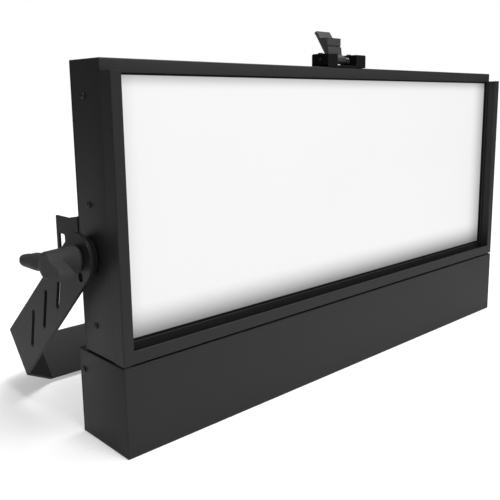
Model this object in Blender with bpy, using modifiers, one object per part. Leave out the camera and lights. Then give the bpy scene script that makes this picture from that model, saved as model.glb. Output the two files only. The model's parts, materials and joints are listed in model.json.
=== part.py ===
"""Panel-type LED soft light: a shallow lit head on a control base, carried by a tilting yoke.

Metres, +Z up. The lit front faces -Y. The origin is the centre of the base's bottom face.
"""

import math

import bmesh
import bpy
from mathutils import Matrix, Vector

# Clearance between pieces that touch, and the sheet that the casings are folded from
GAP = 0.0003
SHEET = 0.002
EDGE_RADIUS = 0.0010

# Sides that round pieces are given
DISC_SIDES = 36
SOCKET_SIDES = 24
BORE_SIDES = 16
BUTTON_SIDES = 16
PIN_SIDES = 12
SCREW_SIDES = 8

# Base and head
BODY_WIDTH = 0.600
BASE_DEPTH = 0.075
BASE_HEIGHT = 0.0807
HEAD_HEIGHT = 0.250
HEAD_DEPTH = 0.0478
CHANNEL_DEPTH = 0.0152

# Accessory channel in front of the head
RAIL_SHEET = 0.0016
RAIL_LIP_WIDTH = 0.0100
RAIL_DROP = 0.010
BOTTOM_LIP_HEIGHT = 0.0126

# Window, bezel ring and diffuser
WINDOW_SIDE_MARGIN = 0.0055
WINDOW_TOP_MARGIN = 0.0128
WINDOW_BOTTOM_MARGIN = 0.0165
BEZEL_WIDTH = 0.0035
BEZEL_SIDE_WIDTH = 0.0025
BEZEL_SHOW = 0.0018
BEZEL_DEPTH = 0.0017
DIFFUSER_THICKNESS = 0.003
DIFFUSER_LAP = 0.007
DIFFUSER_SIDE_LAP = 0.003

# Light box, LED boards and heat sink
TRAY_SHEET = 0.0008
TRAY_DEPTH = 0.0152
TRAY_TAPER = 0.0190
TRAY_RIM = 0.003
BOARD_THICKNESS = 0.0016
BOARD_MARGIN = 0.0035
BOARD_SPLIT = 0.003
LED_ROWS = 4
LED_COLUMNS = 8
LED_SIDE = 0.0035
LED_HEIGHT = 0.0007
SINK_PLATE = 0.003
SINK_MARGIN = 0.024
FIN_COUNT = 21
FIN_THICKNESS = 0.0015
SCREW_PORT_WIDTH = 0.007
SCREW_PORT_FROM_MIDDLE = 9
SINK_FLANGE_DEPTH = 0.0090
SINK_FLANGE_THICKNESS = 0.003

# Yoke
PIVOT_FROM_FRONT = 0.0495
PIVOT_RISE = 0.087
YOKE_TILT = 41.0
YOKE_WIDTH = 0.052
YOKE_HEAD_RADIUS = 0.022
YOKE_THICKNESS = 0.003
YOKE_ARM_LENGTH = 0.1835
YOKE_CORNER = 0.0375
YOKE_CORNER_TURN = 45.0
SLOT_COUNT = 3
SLOT_LENGTH = 0.0385
SLOT_WIDTH = 0.0035
SLOT_FIRST = 0.0535
SLOT_PITCH = 0.0393
SLOT_TURN = 35.5
STOP_SLOT_RADIUS = 0.0159
STOP_SLOT_ANGLE = -62.0
STOP_SLOT_LENGTH = 0.0085
STOP_SLOT_WIDTH = 0.0070
CLAMP_HOLE_RADIUS = 0.0065
OUTER_CLAMP_HOLE_RADIUS = 0.0055
CLAMP_HOLE_PITCH = 0.060

# Pivot hardware
DISC_RADIUS = 0.018
DISC_THICKNESS = 0.0064
STUD_RADIUS = 0.004
INSERT_RADIUS = 0.008
INSERT_LENGTH = 0.010
WASHER_RADIUS = 0.011
WASHER_THICKNESS = 0.0015

# Clamp knobs, and the outline of the knob's bar as (back, up) from the pivot
KNOB_HUB_RADIUS = 0.012
KNOB_HUB_TOP_RADIUS = 0.0102
KNOB_HUB_HEIGHT = 0.0269
KNOB_BAR_START = 0.0144
KNOB_BAR_DEPTH = 0.0135
KNOB_BAR_EDGE = 0.002
KNOB_BORE_DEPTH = 0.018
KNOB_FINGER_OUTLINE = (
    (0.0105, -0.0090),
    (0.0165, -0.0096),
    (0.0280, -0.0106),
    (0.0410, -0.0103),
    (0.0485, -0.0090),
    (0.0509, -0.0054),
    (0.0485, -0.0016),
    (0.0410, 0.0009),
    (0.0280, 0.0043),
    (0.0165, 0.0051),
    (0.0120, 0.0064),
)
KNOB_WING_OUTLINE = (
    (0.0048, 0.0090),
    (-0.0055, 0.0095),
    (-0.0125, 0.0030),
    (-0.0248, 0.0003),
    (-0.0262, -0.0045),
    (-0.0253, -0.0099),
    (-0.0105, -0.0093),
    (-0.0045, -0.0121),
    (0.0010, -0.0124),
    (0.0067, -0.0112),
)

# Rear lugs
LUG_SHEET = 0.002
LUG_REACH = 0.0422
LUG_HEIGHT = 0.0458
LUG_ABOVE_PIVOT = 0.0065
LUG_CORNER = 0.001
LUG_SHOULDER = ((0.0, 0.0034), (0.0070, 0.0023), (0.0126, 0.0013), (0.0190, 0.0))
LUG_FOOT = 0.024
LUG_SLOT_WIDTH = 0.0105
LUG_SLOT_LENGTH = 0.0140
LUG_SLOT_FROM_END = 0.0099
LUG_SCREW_PITCH = 0.030

# Accessory latch on the head's top
LATCH_MIDDLE = -0.003
LATCH_WIDTH = 0.062
LATCH_DEPTH = 0.0234
LATCH_PLATE = 0.0022
LATCH_EAR_HEIGHT = 0.0138
LATCH_LEFT_EAR = 0.0155
LATCH_RIGHT_EAR = 0.016
LATCH_PIN_RADIUS = 0.002
LATCH_PIN_BACK = 0.0118
LATCH_PIN_HEIGHT = 0.0080
LEVER_WIDTH = 0.0218
LEVER_HUB_RADIUS = 0.0043
LEVER_FACE_BACK = 0.0027
LEVER_FOOT_HEIGHT = 0.0062
LEVER_STEP_HEIGHT = 0.0149
LEVER_STEP = 0.0009
LEVER_FACE_HEIGHT = 0.0233
LEVER_TAB_HEIGHT = 0.0311
LEVER_TAB_BACK = 0.0195
LEVER_TAB_THICKNESS = 0.0032
LEVER_SHOULDER = 0.0026
LEVER_HEEL = 0.0008
SPRING_WIRE = 0.0009
SPRING_TURNS = 5
SPRING_POINTS = 10
SPRING_TAIL = 0.0075

# Control panel at the base's back
PANEL_ROW_HEIGHT = 0.040
PANEL_FLANGE_DEPTH = 0.010
PANEL_FLANGE_SHEET = 0.0015
POWER_INLET_INSET = 0.055
POWER_OUTLET_INSET = 0.100
DMX_IN_INSET = 0.155
DMX_OUT_INSET = 0.200
SOCKET_RADIUS = 0.0120
SOCKET_WALL = 0.0018
SOCKET_COLLAR = 0.0155
SOCKET_COLLAR_DEPTH = 0.003
SOCKET_BODY_LENGTH = 0.018
SOCKET_BORE_DEPTH = 0.014
DISPLAY_X = 0.055
DISPLAY_WIDTH = 0.052
DISPLAY_HEIGHT = 0.018
DISPLAY_THICKNESS = 0.003
BUTTON_FIRST_X = 0.105
BUTTON_PITCH = 0.020
BUTTON_RADIUS = 0.005
BUTTON_FLANGE = 0.0013
BUTTON_PROUD = 0.0022
BUTTON_TRAVEL = 0.0012
BUTTON_CHAMFER = 0.0007
SWITCH_SIDE = 0.007

# Inside the base
SUPPLY_LENGTH = 0.215
SUPPLY_DEPTH = 0.045
SUPPLY_HEIGHT = 0.040
SUPPLY_INSET = 0.028
CONTROL_BOARD_LEFT = 0.018
CONTROL_BOARD_WIDTH = 0.164
CONTROL_BOARD_LOW = 0.014
CONTROL_BOARD_DROP = 0.0147
CONTROL_BOARD_OFFSET = 0.0120
STANDOFF_RADIUS = 0.003
HARNESS_RADIUS = 0.003
HARNESS_BEND = 0.008
HARNESS_GROMMET = 0.0045
CONNECTOR_HEIGHT = 0.004

# Screws
SCREW_RADIUS = 0.0015
SCREW_HEAD_RADIUS = 0.0027
SCREW_HEAD_HEIGHT = 0.0012
SCREW_REACH = 0.0055
SIDE_SCREW_RISES = (0.027, 0.132, 0.221)
BASE_SCREW_DROP = 0.0189

# Vents in the rear cover
VENT_COUNT = 13
VENT_PITCH = 0.036
VENT_LENGTH = 0.024
VENT_WIDTH = 0.004
VENT_INSET = 0.028

# Places worked out from the sizes above
HALF_WIDTH = BODY_WIDTH / 2
FRONT = -BASE_DEPTH / 2
BASE_BACK = BASE_DEPTH / 2
HEAD_FRONT = FRONT + CHANNEL_DEPTH
HEAD_BACK = HEAD_FRONT + HEAD_DEPTH
HEAD_BOTTOM = BASE_HEIGHT + GAP
HEAD_TOP = HEAD_BOTTOM + HEAD_HEIGHT
HEAD_SHELL_BACK = HEAD_BACK - SHEET - GAP
WINDOW_HALF_WIDTH = HALF_WIDTH - WINDOW_SIDE_MARGIN
WINDOW_LOW = HEAD_BOTTOM + WINDOW_BOTTOM_MARGIN
WINDOW_HIGH = HEAD_TOP - WINDOW_TOP_MARGIN
PIVOT = Vector((0.0, FRONT + PIVOT_FROM_FRONT, HEAD_BOTTOM + PIVOT_RISE))
LUG_MIDDLE_HEIGHT = PIVOT.z + LUG_ABOVE_PIVOT
SUPPLY_LEFT = SUPPLY_INSET - HALF_WIDTH
CONTROL_BOARD_RIGHT = CONTROL_BOARD_LEFT + CONTROL_BOARD_WIDTH
CONTROL_BOARD_HIGH = BASE_HEIGHT - CONTROL_BOARD_DROP
SHANK_HOLE = SCREW_RADIUS + GAP
STUD_HOLE = STUD_RADIUS + GAP
PIN_HOLE = LATCH_PIN_RADIUS + GAP
BEZEL_FRONT = HEAD_FRONT + SHEET + GAP
DIFFUSER_FRONT = BEZEL_FRONT + BEZEL_DEPTH + GAP
TRAY_FRONT = DIFFUSER_FRONT + DIFFUSER_THICKNESS + GAP
TRAY_BACK = TRAY_FRONT + TRAY_DEPTH
SINK_FRONT = TRAY_BACK + GAP
TRAY_HALF_WIDTH = WINDOW_HALF_WIDTH + DIFFUSER_SIDE_LAP
TRAY_LOW = WINDOW_LOW - DIFFUSER_LAP
TRAY_HIGH = WINDOW_HIGH + DIFFUSER_LAP
ARM_INNER = HALF_WIDTH + GAP + DISC_THICKNESS + GAP
ARM_OUTER = ARM_INNER + YOKE_THICKNESS
WASHER_OUTER = ARM_OUTER + GAP + WASHER_THICKNESS
KNOB_FOOT = WASHER_OUTER + GAP
PANEL_INSIDE = BASE_BACK - SHEET
LATCH_BOTTOM = HEAD_TOP + GAP
LATCH_PIN = Vector((LATCH_MIDDLE, HEAD_FRONT + LATCH_PIN_BACK, LATCH_BOTTOM + LATCH_PIN_HEIGHT))
LEVER_LEFT = -LATCH_WIDTH / 2 + LATCH_LEFT_EAR + GAP
LEVER_RIGHT = LEVER_LEFT + LEVER_WIDTH

UPRIGHT = Matrix.Rotation(math.radians(90), 4, "X")
ALONG_X = Matrix(((0, 0, 1), (1, 0, 0), (0, 1, 0))).to_4x4()
SIDES = {"left": -1, "right": 1}


def new_collection(name):
    made = bpy.data.collections.new(name)
    bpy.context.scene.collection.children.link(made)
    return made


for old in list(bpy.data.objects):
    bpy.data.objects.remove(old, do_unlink=True)
PARTS = new_collection("led_soft_light")
CUTTERS = new_collection("cutters")


def new_material(name, color, roughness, metallic=0.0):
    made = bpy.data.materials.new(name)
    made.use_nodes = True
    shader = made.node_tree.nodes["Principled BSDF"]
    shader.inputs["Base Color"].default_value = (*color, 1.0)
    shader.inputs["Roughness"].default_value = roughness
    shader.inputs["Metallic"].default_value = metallic
    made.diffuse_color = (*color, 1.0)
    return made


POWDER_COAT = new_material("powder_coat", (0.036, 0.036, 0.038), 0.55)
KNOB_PLASTIC = new_material("knob_plastic", (0.045, 0.045, 0.047), 0.5)
LATCH_PLASTIC = new_material("latch_plastic", (0.06, 0.06, 0.063), 0.45)
OPAL = new_material("opal_acrylic", (0.86, 0.86, 0.86), 0.35)
WHITE_ENAMEL = new_material("white_enamel", (0.8, 0.8, 0.8), 0.5)
STEEL = new_material("zinc_steel", (0.55, 0.55, 0.56), 0.35, 1.0)
ALUMINIUM = new_material("aluminium", (0.7, 0.7, 0.71), 0.4, 1.0)
BOARD_MASK = new_material("board_mask", (0.8, 0.8, 0.78), 0.45)
RUBBER = new_material("rubber", (0.02, 0.02, 0.021), 0.8)
DISPLAY_GLASS = new_material("display_glass", (0.01, 0.012, 0.015), 0.1)
CABLE_JACKET = new_material("cable_jacket", (0.05, 0.05, 0.05), 0.5)


def place(name, mesh, look, matrix):
    """A part when it has a look, otherwise a cutter."""
    made = bpy.data.objects.new(name, mesh)
    made.matrix_world = matrix
    if look is None:
        CUTTERS.objects.link(made)
        made.hide_render = True
        made.display_type = "WIRE"
        return made
    PARTS.objects.link(made)
    mesh.materials.append(look)
    return made


def mesh_of(name, shape):
    mesh = bpy.data.meshes.new(name)
    bmesh.ops.recalc_face_normals(shape, faces=shape.faces)
    shape.to_mesh(mesh)
    shape.free()
    return mesh


def bevel(obj, width, segments=1):
    made = obj.modifiers.new("edges", "BEVEL")
    made.width = width
    made.segments = segments
    made.limit_method = "ANGLE"


def box_shape(size):
    shape = bmesh.new()
    bmesh.ops.create_cube(shape, size=1.0)
    bmesh.ops.scale(shape, vec=size, verts=shape.verts)
    return shape


def block(name, low, high, look=None, edge=0.0):
    """A box between two corners, with its object at the box's middle."""
    low, high = Vector(low), Vector(high)
    mesh = mesh_of(name, box_shape(high - low))
    made = place(name, mesh, look, Matrix.Translation((low + high) / 2))
    if edge:
        bevel(made, edge)
    return made


def open_box(name, low, high, wall, look):
    """A box of sheet that is open at its back."""
    low, high = Vector(low), Vector(high)
    shape = box_shape(high - low)
    back = [face for face in shape.faces if face.normal.y > 0.5]
    bmesh.ops.delete(shape, geom=back, context="FACES_ONLY")
    made = place(name, mesh_of(name, shape), look, Matrix.Translation((low + high) / 2))
    walls = made.modifiers.new("walls", "SOLIDIFY")
    walls.thickness = wall
    walls.offset = -1
    walls.use_even_offset = True
    bevel(made, EDGE_RADIUS)
    return made


def turned(name, profile, start, toward, look=None, steps=BORE_SIDES, ring=False):
    """A profile of (radius, height), running down its outer side, turned about a line."""
    shape = bmesh.new()
    points = [shape.verts.new((radius, 0.0, height)) for radius, height in profile]
    for first, second in zip(points, points[1:]):
        shape.edges.new((first, second))
    if ring:
        shape.edges.new((points[-1], points[0]))
    mesh = bpy.data.meshes.new(name)
    shape.to_mesh(mesh)
    shape.free()
    turn = Vector(toward).to_track_quat("Z", "Y").to_matrix().to_4x4()
    made = place(name, mesh, look, Matrix.Translation(start) @ turn)
    sweep = made.modifiers.new("turn", "SCREW")
    sweep.steps = steps
    sweep.render_steps = steps
    sweep.use_merge_vertices = True
    sweep.merge_threshold = 0.00001
    return made


def rod(name, radius, start, end, look=None, steps=BORE_SIDES):
    start, end = Vector(start), Vector(end)
    length = (end - start).length
    profile = [(0, length), (radius, length), (radius, 0), (0, 0)]
    return turned(name, profile, start, end - start, look, steps)


def ring(name, outer, inner, length, start, toward, look, steps, edge=0.0):
    profile = [(inner, length), (outer, length), (outer, 0), (inner, 0)]
    if edge:
        rim = [(outer - edge, length), (outer, length - edge), (outer, edge), (outer - edge, 0)]
        profile = [profile[0]] + rim + [profile[-1]]
    return turned(name, profile, start, toward, look, steps, ring=True)


def rectangle(low, high):
    return [(low[0], low[1]), (high[0], low[1]), (high[0], high[1]), (low[0], high[1])]


def slot_outline(middle, length, width, angle=0.0, steps=5):
    """A slot with round ends, whose long side runs along angle, in degrees."""
    radius = width / 2
    reach = length / 2 - radius
    along = math.radians(angle)
    points = []
    for side in (1, -1):
        for step in range(steps + 1):
            turn = along + math.pi * (step / steps - side / 2)
            points.append(
                (
                    middle[0] + side * reach * math.cos(along) + radius * math.cos(turn),
                    middle[1] + side * reach * math.sin(along) + radius * math.sin(turn),
                )
            )
    return points


def circle_outline(middle, radius, steps=20):
    return [
        (
            middle[0] + radius * math.cos(2 * math.pi * step / steps),
            middle[1] + radius * math.sin(2 * math.pi * step / steps),
        )
        for step in range(steps)
    ]


def plate(name, outlines, thickness, matrix, look=None):
    """A flat outline, with any holes after it, given half its thickness to each side."""
    curve = bpy.data.curves.new(name, "CURVE")
    curve.dimensions = "2D"
    curve.fill_mode = "BOTH"
    curve.extrude = thickness / 2
    for outline in outlines:
        spline = curve.splines.new("POLY")
        spline.points.add(len(outline) - 1)
        for point, (x, y) in zip(spline.points, outline):
            point.co = (x, y, 0.0, 1.0)
        spline.use_cyclic_u = True
    drawn = bpy.data.objects.new(name + "_outline", curve)
    CUTTERS.objects.link(drawn)
    graph = bpy.context.evaluated_depsgraph_get()
    graph.update()
    mesh = bpy.data.meshes.new_from_object(drawn.evaluated_get(graph))
    bpy.data.objects.remove(drawn, do_unlink=True)
    mesh.name = name
    shape = bmesh.new()
    shape.from_mesh(mesh)
    bmesh.ops.remove_doubles(shape, verts=shape.verts, dist=0.00001)
    bmesh.ops.recalc_face_normals(shape, faces=shape.faces)
    shape.to_mesh(mesh)
    shape.free()
    mesh.materials.clear()
    return place(name, mesh, look, matrix)


def boolean(target, other, operation):
    made = target.modifiers.new(operation.lower() + "_" + other.name, "BOOLEAN")
    made.operation = operation
    made.object = other


def cut(target, *others):
    for other in others:
        boolean(target, other, "DIFFERENCE")


def fuse(target, *others):
    for other in others:
        boolean(target, other, "UNION")


def screw(name, seat, toward, reach=SCREW_REACH):
    """A pan-head screw whose head sits on the face at seat and points toward."""
    profile = [
        (0, SCREW_HEAD_HEIGHT + GAP),
        (SCREW_HEAD_RADIUS - SCREW_HEAD_HEIGHT / 2, SCREW_HEAD_HEIGHT + GAP),
        (SCREW_HEAD_RADIUS, SCREW_HEAD_HEIGHT / 2 + GAP),
        (SCREW_HEAD_RADIUS, GAP),
        (SCREW_RADIUS, GAP),
        (SCREW_RADIUS, -reach),
        (0, -reach),
    ]
    return turned(name, profile, seat, toward, STEEL, steps=SCREW_SIDES)


def shank_cutter(name, seat, toward, depth):
    """The hole for a screw, from just above its seat to a depth below it."""
    seat, toward = Vector(seat), Vector(toward)
    above = seat + toward * 2 * GAP
    return rod(name, SHANK_HOLE, above, seat - toward * depth, steps=SCREW_SIDES)


# Head casing
def make_head_casing():
    casing = open_box(
        "upper_housing",
        (-HALF_WIDTH, HEAD_FRONT, HEAD_BOTTOM),
        (HALF_WIDTH, HEAD_SHELL_BACK, HEAD_TOP),
        SHEET,
        POWDER_COAT,
    )
    cut_half = WINDOW_HALF_WIDTH + BEZEL_SHOW
    cut(
        casing,
        block(
            "window_cutter",
            (-cut_half, HEAD_FRONT - SHEET, WINDOW_LOW - BEZEL_SHOW),
            (cut_half, HEAD_FRONT + 2 * SHEET, WINDOW_HIGH + BEZEL_SHOW),
        ),
    )
    bezel_half = WINDOW_HALF_WIDTH + BEZEL_SIDE_WIDTH
    bezel_low, bezel_high = WINDOW_LOW - BEZEL_WIDTH, WINDOW_HIGH + BEZEL_WIDTH
    plate(
        "front_bezel",
        [
            rectangle((-bezel_half, bezel_low), (bezel_half, bezel_high)),
            rectangle((-WINDOW_HALF_WIDTH, WINDOW_LOW), (WINDOW_HALF_WIDTH, WINDOW_HIGH)),
        ],
        BEZEL_DEPTH,
        Matrix.Translation((0, BEZEL_FRONT + BEZEL_DEPTH / 2, 0)) @ UPRIGHT,
        POWDER_COAT,
    )
    block(
        "diffuser_panel",
        (-TRAY_HALF_WIDTH, DIFFUSER_FRONT, TRAY_LOW),
        (TRAY_HALF_WIDTH, DIFFUSER_FRONT + DIFFUSER_THICKNESS, TRAY_HIGH),
        OPAL,
    )
    return casing


def make_rear_cover():
    outlines = [rectangle((-HALF_WIDTH, HEAD_BOTTOM), (HALF_WIDTH, HEAD_TOP))]
    for height in (HEAD_BOTTOM + VENT_INSET, HEAD_TOP - VENT_INSET):
        for number in range(VENT_COUNT):
            x = (number - (VENT_COUNT - 1) / 2) * VENT_PITCH
            outlines.append(slot_outline((x, height), VENT_LENGTH, VENT_WIDTH, 90, steps=3))
    for x, height in cover_screw_places():
        outlines.append(circle_outline((x, height), SHANK_HOLE, 10))
    for sign in SIDES.values():
        for height in lug_screw_heights():
            outlines.append(circle_outline((sign * lug_screw_x(), height), SHANK_HOLE, 10))
    plate(
        "rear_cover",
        outlines,
        SHEET,
        Matrix.Translation((0, HEAD_BACK - SHEET / 2, 0)) @ UPRIGHT,
        POWDER_COAT,
    )


# Light engine
def make_light_box():
    """A white tray with sloping sides, open to the diffuser."""
    middle_z = (TRAY_LOW + TRAY_HIGH) / 2
    half_height = (TRAY_HIGH - TRAY_LOW) / 2
    slope_depth = TRAY_DEPTH - TRAY_RIM
    shape = bmesh.new()
    bmesh.ops.create_cube(shape, size=2.0)
    bmesh.ops.scale(
        shape, vec=(TRAY_HALF_WIDTH, slope_depth / 2, half_height), verts=shape.verts
    )
    front = [face for face in shape.faces if face.normal.y < -0.5]
    back = [corner for corner in shape.verts if corner.co.y > 0]
    for corner in back:
        corner.co.x -= math.copysign(TRAY_TAPER, corner.co.x)
        corner.co.z -= math.copysign(TRAY_TAPER, corner.co.z)
    bmesh.ops.delete(shape, geom=front, context="FACES_ONLY")
    mouth = [edge for edge in shape.edges if edge.is_boundary]
    rim = bmesh.ops.extrude_edge_only(shape, edges=mouth)["geom"]
    rim = [corner for corner in rim if isinstance(corner, bmesh.types.BMVert)]
    bmesh.ops.translate(shape, vec=(0, -TRAY_RIM, 0), verts=rim)
    tray = place(
        "light_box",
        mesh_of("light_box", shape),
        WHITE_ENAMEL,
        Matrix.Translation((0, TRAY_BACK - slope_depth / 2, middle_z)),
    )
    walls = tray.modifiers.new("walls", "SOLIDIFY")
    walls.thickness = TRAY_SHEET
    walls.offset = -1
    return tray


def make_led_board(side, sign):
    """An LED board with its rows of LED packages, on the light box's back."""
    back = TRAY_BACK - TRAY_SHEET - GAP
    front = back - BOARD_THICKNESS
    low = TRAY_LOW + TRAY_TAPER + BOARD_MARGIN
    high = TRAY_HIGH - TRAY_TAPER - BOARD_MARGIN
    inner = BOARD_SPLIT / 2
    outer = TRAY_HALF_WIDTH - TRAY_TAPER - BOARD_MARGIN
    near, far = sorted((sign * inner, sign * outer))
    board = block("led_board_" + side, (near, front, low), (far, back, high), BOARD_MASK)
    leds = bmesh.new()
    for column in range(LED_COLUMNS):
        for row in range(LED_ROWS):
            x = near + (far - near) * (column + 0.5) / LED_COLUMNS
            z = low + (high - low) * (row + 0.5) / LED_ROWS
            added = bmesh.ops.create_cube(leds, size=1.0)["verts"]
            bmesh.ops.scale(leds, vec=(LED_SIDE, 2 * LED_HEIGHT, LED_SIDE), verts=added)
            bmesh.ops.translate(leds, vec=(x, front, z), verts=added)
    packages = place(
        "led_packages_" + side, mesh_of("led_packages_" + side, leds), None, Matrix.Identity(4)
    )
    fuse(board, packages)


def fin_pitch():
    return 2 * (HALF_WIDTH - SHEET - SINK_MARGIN) / (FIN_COUNT - 1)


def cover_screw_places():
    x = SCREW_PORT_FROM_MIDDLE * fin_pitch()
    heights = (TRAY_LOW + TRAY_TAPER + SINK_MARGIN, TRAY_HIGH - TRAY_TAPER - SINK_MARGIN)
    return [(sign * x, height) for sign in SIDES.values() for height in heights]


def sink_flange_middle():
    return SINK_FRONT + SINK_FLANGE_DEPTH / 2


def make_heat_sink():
    """An extrusion: a plate with upright fins, screw ports and a flange at each end."""
    half = HALF_WIDTH - SHEET - GAP
    plate_back = SINK_FRONT + SINK_PLATE
    fin_back = HEAD_SHELL_BACK
    outline = [(-half, SINK_FRONT), (half, SINK_FRONT), (half, SINK_FRONT + SINK_FLANGE_DEPTH)]
    outline.append((half - SINK_FLANGE_THICKNESS, SINK_FRONT + SINK_FLANGE_DEPTH))
    outline.append((half - SINK_FLANGE_THICKNESS, plate_back))
    middle = (FIN_COUNT - 1) // 2
    for number in range(FIN_COUNT):
        place_from_middle = middle - number
        x = place_from_middle * fin_pitch()
        is_port = abs(place_from_middle) == SCREW_PORT_FROM_MIDDLE
        half_fin = (SCREW_PORT_WIDTH if is_port else FIN_THICKNESS) / 2
        outline.append((x + half_fin, plate_back))
        outline.append((x + half_fin, fin_back))
        outline.append((x - half_fin, fin_back))
        outline.append((x - half_fin, plate_back))
    outline.append((-half + SINK_FLANGE_THICKNESS, plate_back))
    outline.append((-half + SINK_FLANGE_THICKNESS, SINK_FRONT + SINK_FLANGE_DEPTH))
    outline.append((-half, SINK_FRONT + SINK_FLANGE_DEPTH))
    low = TRAY_LOW + TRAY_TAPER / 2
    high = TRAY_HIGH - TRAY_TAPER / 2
    sink = plate(
        "heat_sink",
        [outline],
        high - low,
        Matrix.Translation((0, 0, (low + high) / 2)),
        ALUMINIUM,
    )
    room = INSERT_RADIUS + SINK_FLANGE_THICKNESS
    for side, sign in SIDES.items():
        near, far = sorted((sign * (half - INSERT_LENGTH - 2 * GAP), sign * (half + SHEET)))
        cut(
            sink,
            block(
                "insert_room_" + side,
                (near, SINK_FRONT - SHEET, PIVOT.z - room),
                (far, HEAD_BACK, PIVOT.z + room),
            ),
        )
    return sink


# Base casing and control panel
def make_base_casing():
    return open_box(
        "base_box",
        (-HALF_WIDTH, FRONT, 0),
        (HALF_WIDTH, PANEL_INSIDE - GAP, BASE_HEIGHT),
        SHEET,
        POWDER_COAT,
    )


def socket_places():
    """The middles of the sockets, which keep their distances from the panel's left end."""
    insets = {
        "power_inlet": POWER_INLET_INSET,
        "power_outlet": POWER_OUTLET_INSET,
        "dmx_in": DMX_IN_INSET,
        "dmx_out": DMX_OUT_INSET,
    }
    return {name: inset - HALF_WIDTH for name, inset in insets.items()}


def button_places():
    names = ("menu_button", "down_button", "up_button", "enter_button")
    return {name: BUTTON_FIRST_X + number * BUTTON_PITCH for number, name in enumerate(names)}


def make_control_panel():
    """The base's rear wall, with its cut-outs and a flange inside each end of the base."""
    panel = block(
        "control_panel",
        (-HALF_WIDTH, PANEL_INSIDE, 0),
        (HALF_WIDTH, BASE_BACK, BASE_HEIGHT),
        POWDER_COAT,
    )
    for side, sign in SIDES.items():
        outer = sign * (HALF_WIDTH - SHEET - GAP)
        near, far = sorted((outer, outer - sign * PANEL_FLANGE_SHEET))
        flange = block(
            "panel_flange_" + side,
            (near, PANEL_INSIDE - PANEL_FLANGE_DEPTH, SHEET + EDGE_RADIUS + GAP),
            (far, PANEL_INSIDE + SHEET / 2, BASE_HEIGHT - SHEET - EDGE_RADIUS - GAP),
        )
        fuse(panel, flange)
    holes = {
        name: (x, SOCKET_RADIUS + GAP, SOCKET_SIDES) for name, x in socket_places().items()
    }
    for name, x in button_places().items():
        holes[name] = (x, BUTTON_RADIUS + GAP, BUTTON_SIDES)
    for name, (x, radius, steps) in holes.items():
        ends = [
            (x, y, PANEL_ROW_HEIGHT) for y in (PANEL_INSIDE - SHEET, BASE_BACK + SHEET)
        ]
        cut(panel, rod(name + "_hole", radius, ends[0], ends[1], steps=steps))
    half_width = DISPLAY_WIDTH / 2 + GAP
    half_height = DISPLAY_HEIGHT / 2 + GAP
    cut(
        panel,
        block(
            "display_hole",
            (DISPLAY_X - half_width, PANEL_INSIDE - SHEET, PANEL_ROW_HEIGHT - half_height),
            (DISPLAY_X + half_width, BASE_BACK + SHEET, PANEL_ROW_HEIGHT + half_height),
        ),
    )
    return panel


def make_socket(name, x):
    """A round chassis socket: a body behind the panel, a collar in front and a bore."""
    mouth = SOCKET_COLLAR_DEPTH + GAP
    body = SHEET + SOCKET_BODY_LENGTH
    bore = SOCKET_RADIUS - SOCKET_WALL
    profile = [
        (0, mouth - SOCKET_BORE_DEPTH),
        (bore, mouth - SOCKET_BORE_DEPTH),
        (bore, mouth),
        (SOCKET_COLLAR - EDGE_RADIUS, mouth),
        (SOCKET_COLLAR, mouth - EDGE_RADIUS),
        (SOCKET_COLLAR, GAP),
        (SOCKET_RADIUS, GAP),
        (SOCKET_RADIUS, -body),
        (0, -body),
    ]
    seat = (x, BASE_BACK, PANEL_ROW_HEIGHT)
    turned(name, profile, seat, (0, 1, 0), KNOB_PLASTIC, steps=SOCKET_SIDES)


def make_button(name, x):
    """A round push button, held behind the panel by its flange."""
    flange_front = -SHEET - GAP
    profile = [
        (0, BUTTON_PROUD),
        (BUTTON_RADIUS - BUTTON_CHAMFER, BUTTON_PROUD),
        (BUTTON_RADIUS, BUTTON_PROUD - BUTTON_CHAMFER),
        (BUTTON_RADIUS, flange_front),
        (BUTTON_RADIUS + BUTTON_FLANGE, flange_front),
        (BUTTON_RADIUS + BUTTON_FLANGE, flange_front - BUTTON_FLANGE),
        (0, flange_front - BUTTON_FLANGE),
    ]
    seat = (x, BASE_BACK, PANEL_ROW_HEIGHT)
    turned(name, profile, seat, (0, 1, 0), RUBBER, steps=BUTTON_SIDES)


def control_board_front():
    return PANEL_INSIDE - CONTROL_BOARD_OFFSET


def make_control_board():
    """The board behind the panel: standoffs at its corners, a switch behind each button."""
    rear = control_board_front()
    board = block(
        "control_board",
        (CONTROL_BOARD_LEFT, rear - BOARD_THICKNESS, CONTROL_BOARD_LOW),
        (CONTROL_BOARD_RIGHT, rear, CONTROL_BOARD_HIGH),
        BOARD_MASK,
    )
    sunk = rear - BOARD_THICKNESS / 2
    inset = 2 * STANDOFF_RADIUS
    for number, (x, height) in enumerate(
        (x, height)
        for x in (CONTROL_BOARD_LEFT + inset, CONTROL_BOARD_RIGHT - inset)
        for height in (CONTROL_BOARD_LOW + inset, CONTROL_BOARD_HIGH - inset)
    ):
        ends = [(x, y, height) for y in (sunk, PANEL_INSIDE - GAP)]
        name = f"standoff_{number}"
        fuse(board, rod(name, STANDOFF_RADIUS, ends[0], ends[1], steps=SCREW_SIDES))
    switch_top = PANEL_INSIDE - GAP - BUTTON_FLANGE - BUTTON_TRAVEL - 2 * GAP
    half = SWITCH_SIDE / 2
    for name, x in button_places().items():
        fuse(
            board,
            block(
                name + "_switch",
                (x - half, sunk, PANEL_ROW_HEIGHT - half),
                (x + half, switch_top, PANEL_ROW_HEIGHT + half),
            ),
        )
    fuse(
        board,
        block(
            "display_module",
            (DISPLAY_X - DISPLAY_WIDTH / 2, sunk, PANEL_ROW_HEIGHT - DISPLAY_HEIGHT / 2),
            (
                DISPLAY_X + DISPLAY_WIDTH / 2,
                BASE_BACK - DISPLAY_THICKNESS - GAP,
                PANEL_ROW_HEIGHT + DISPLAY_HEIGHT / 2,
            ),
        ),
    )


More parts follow.
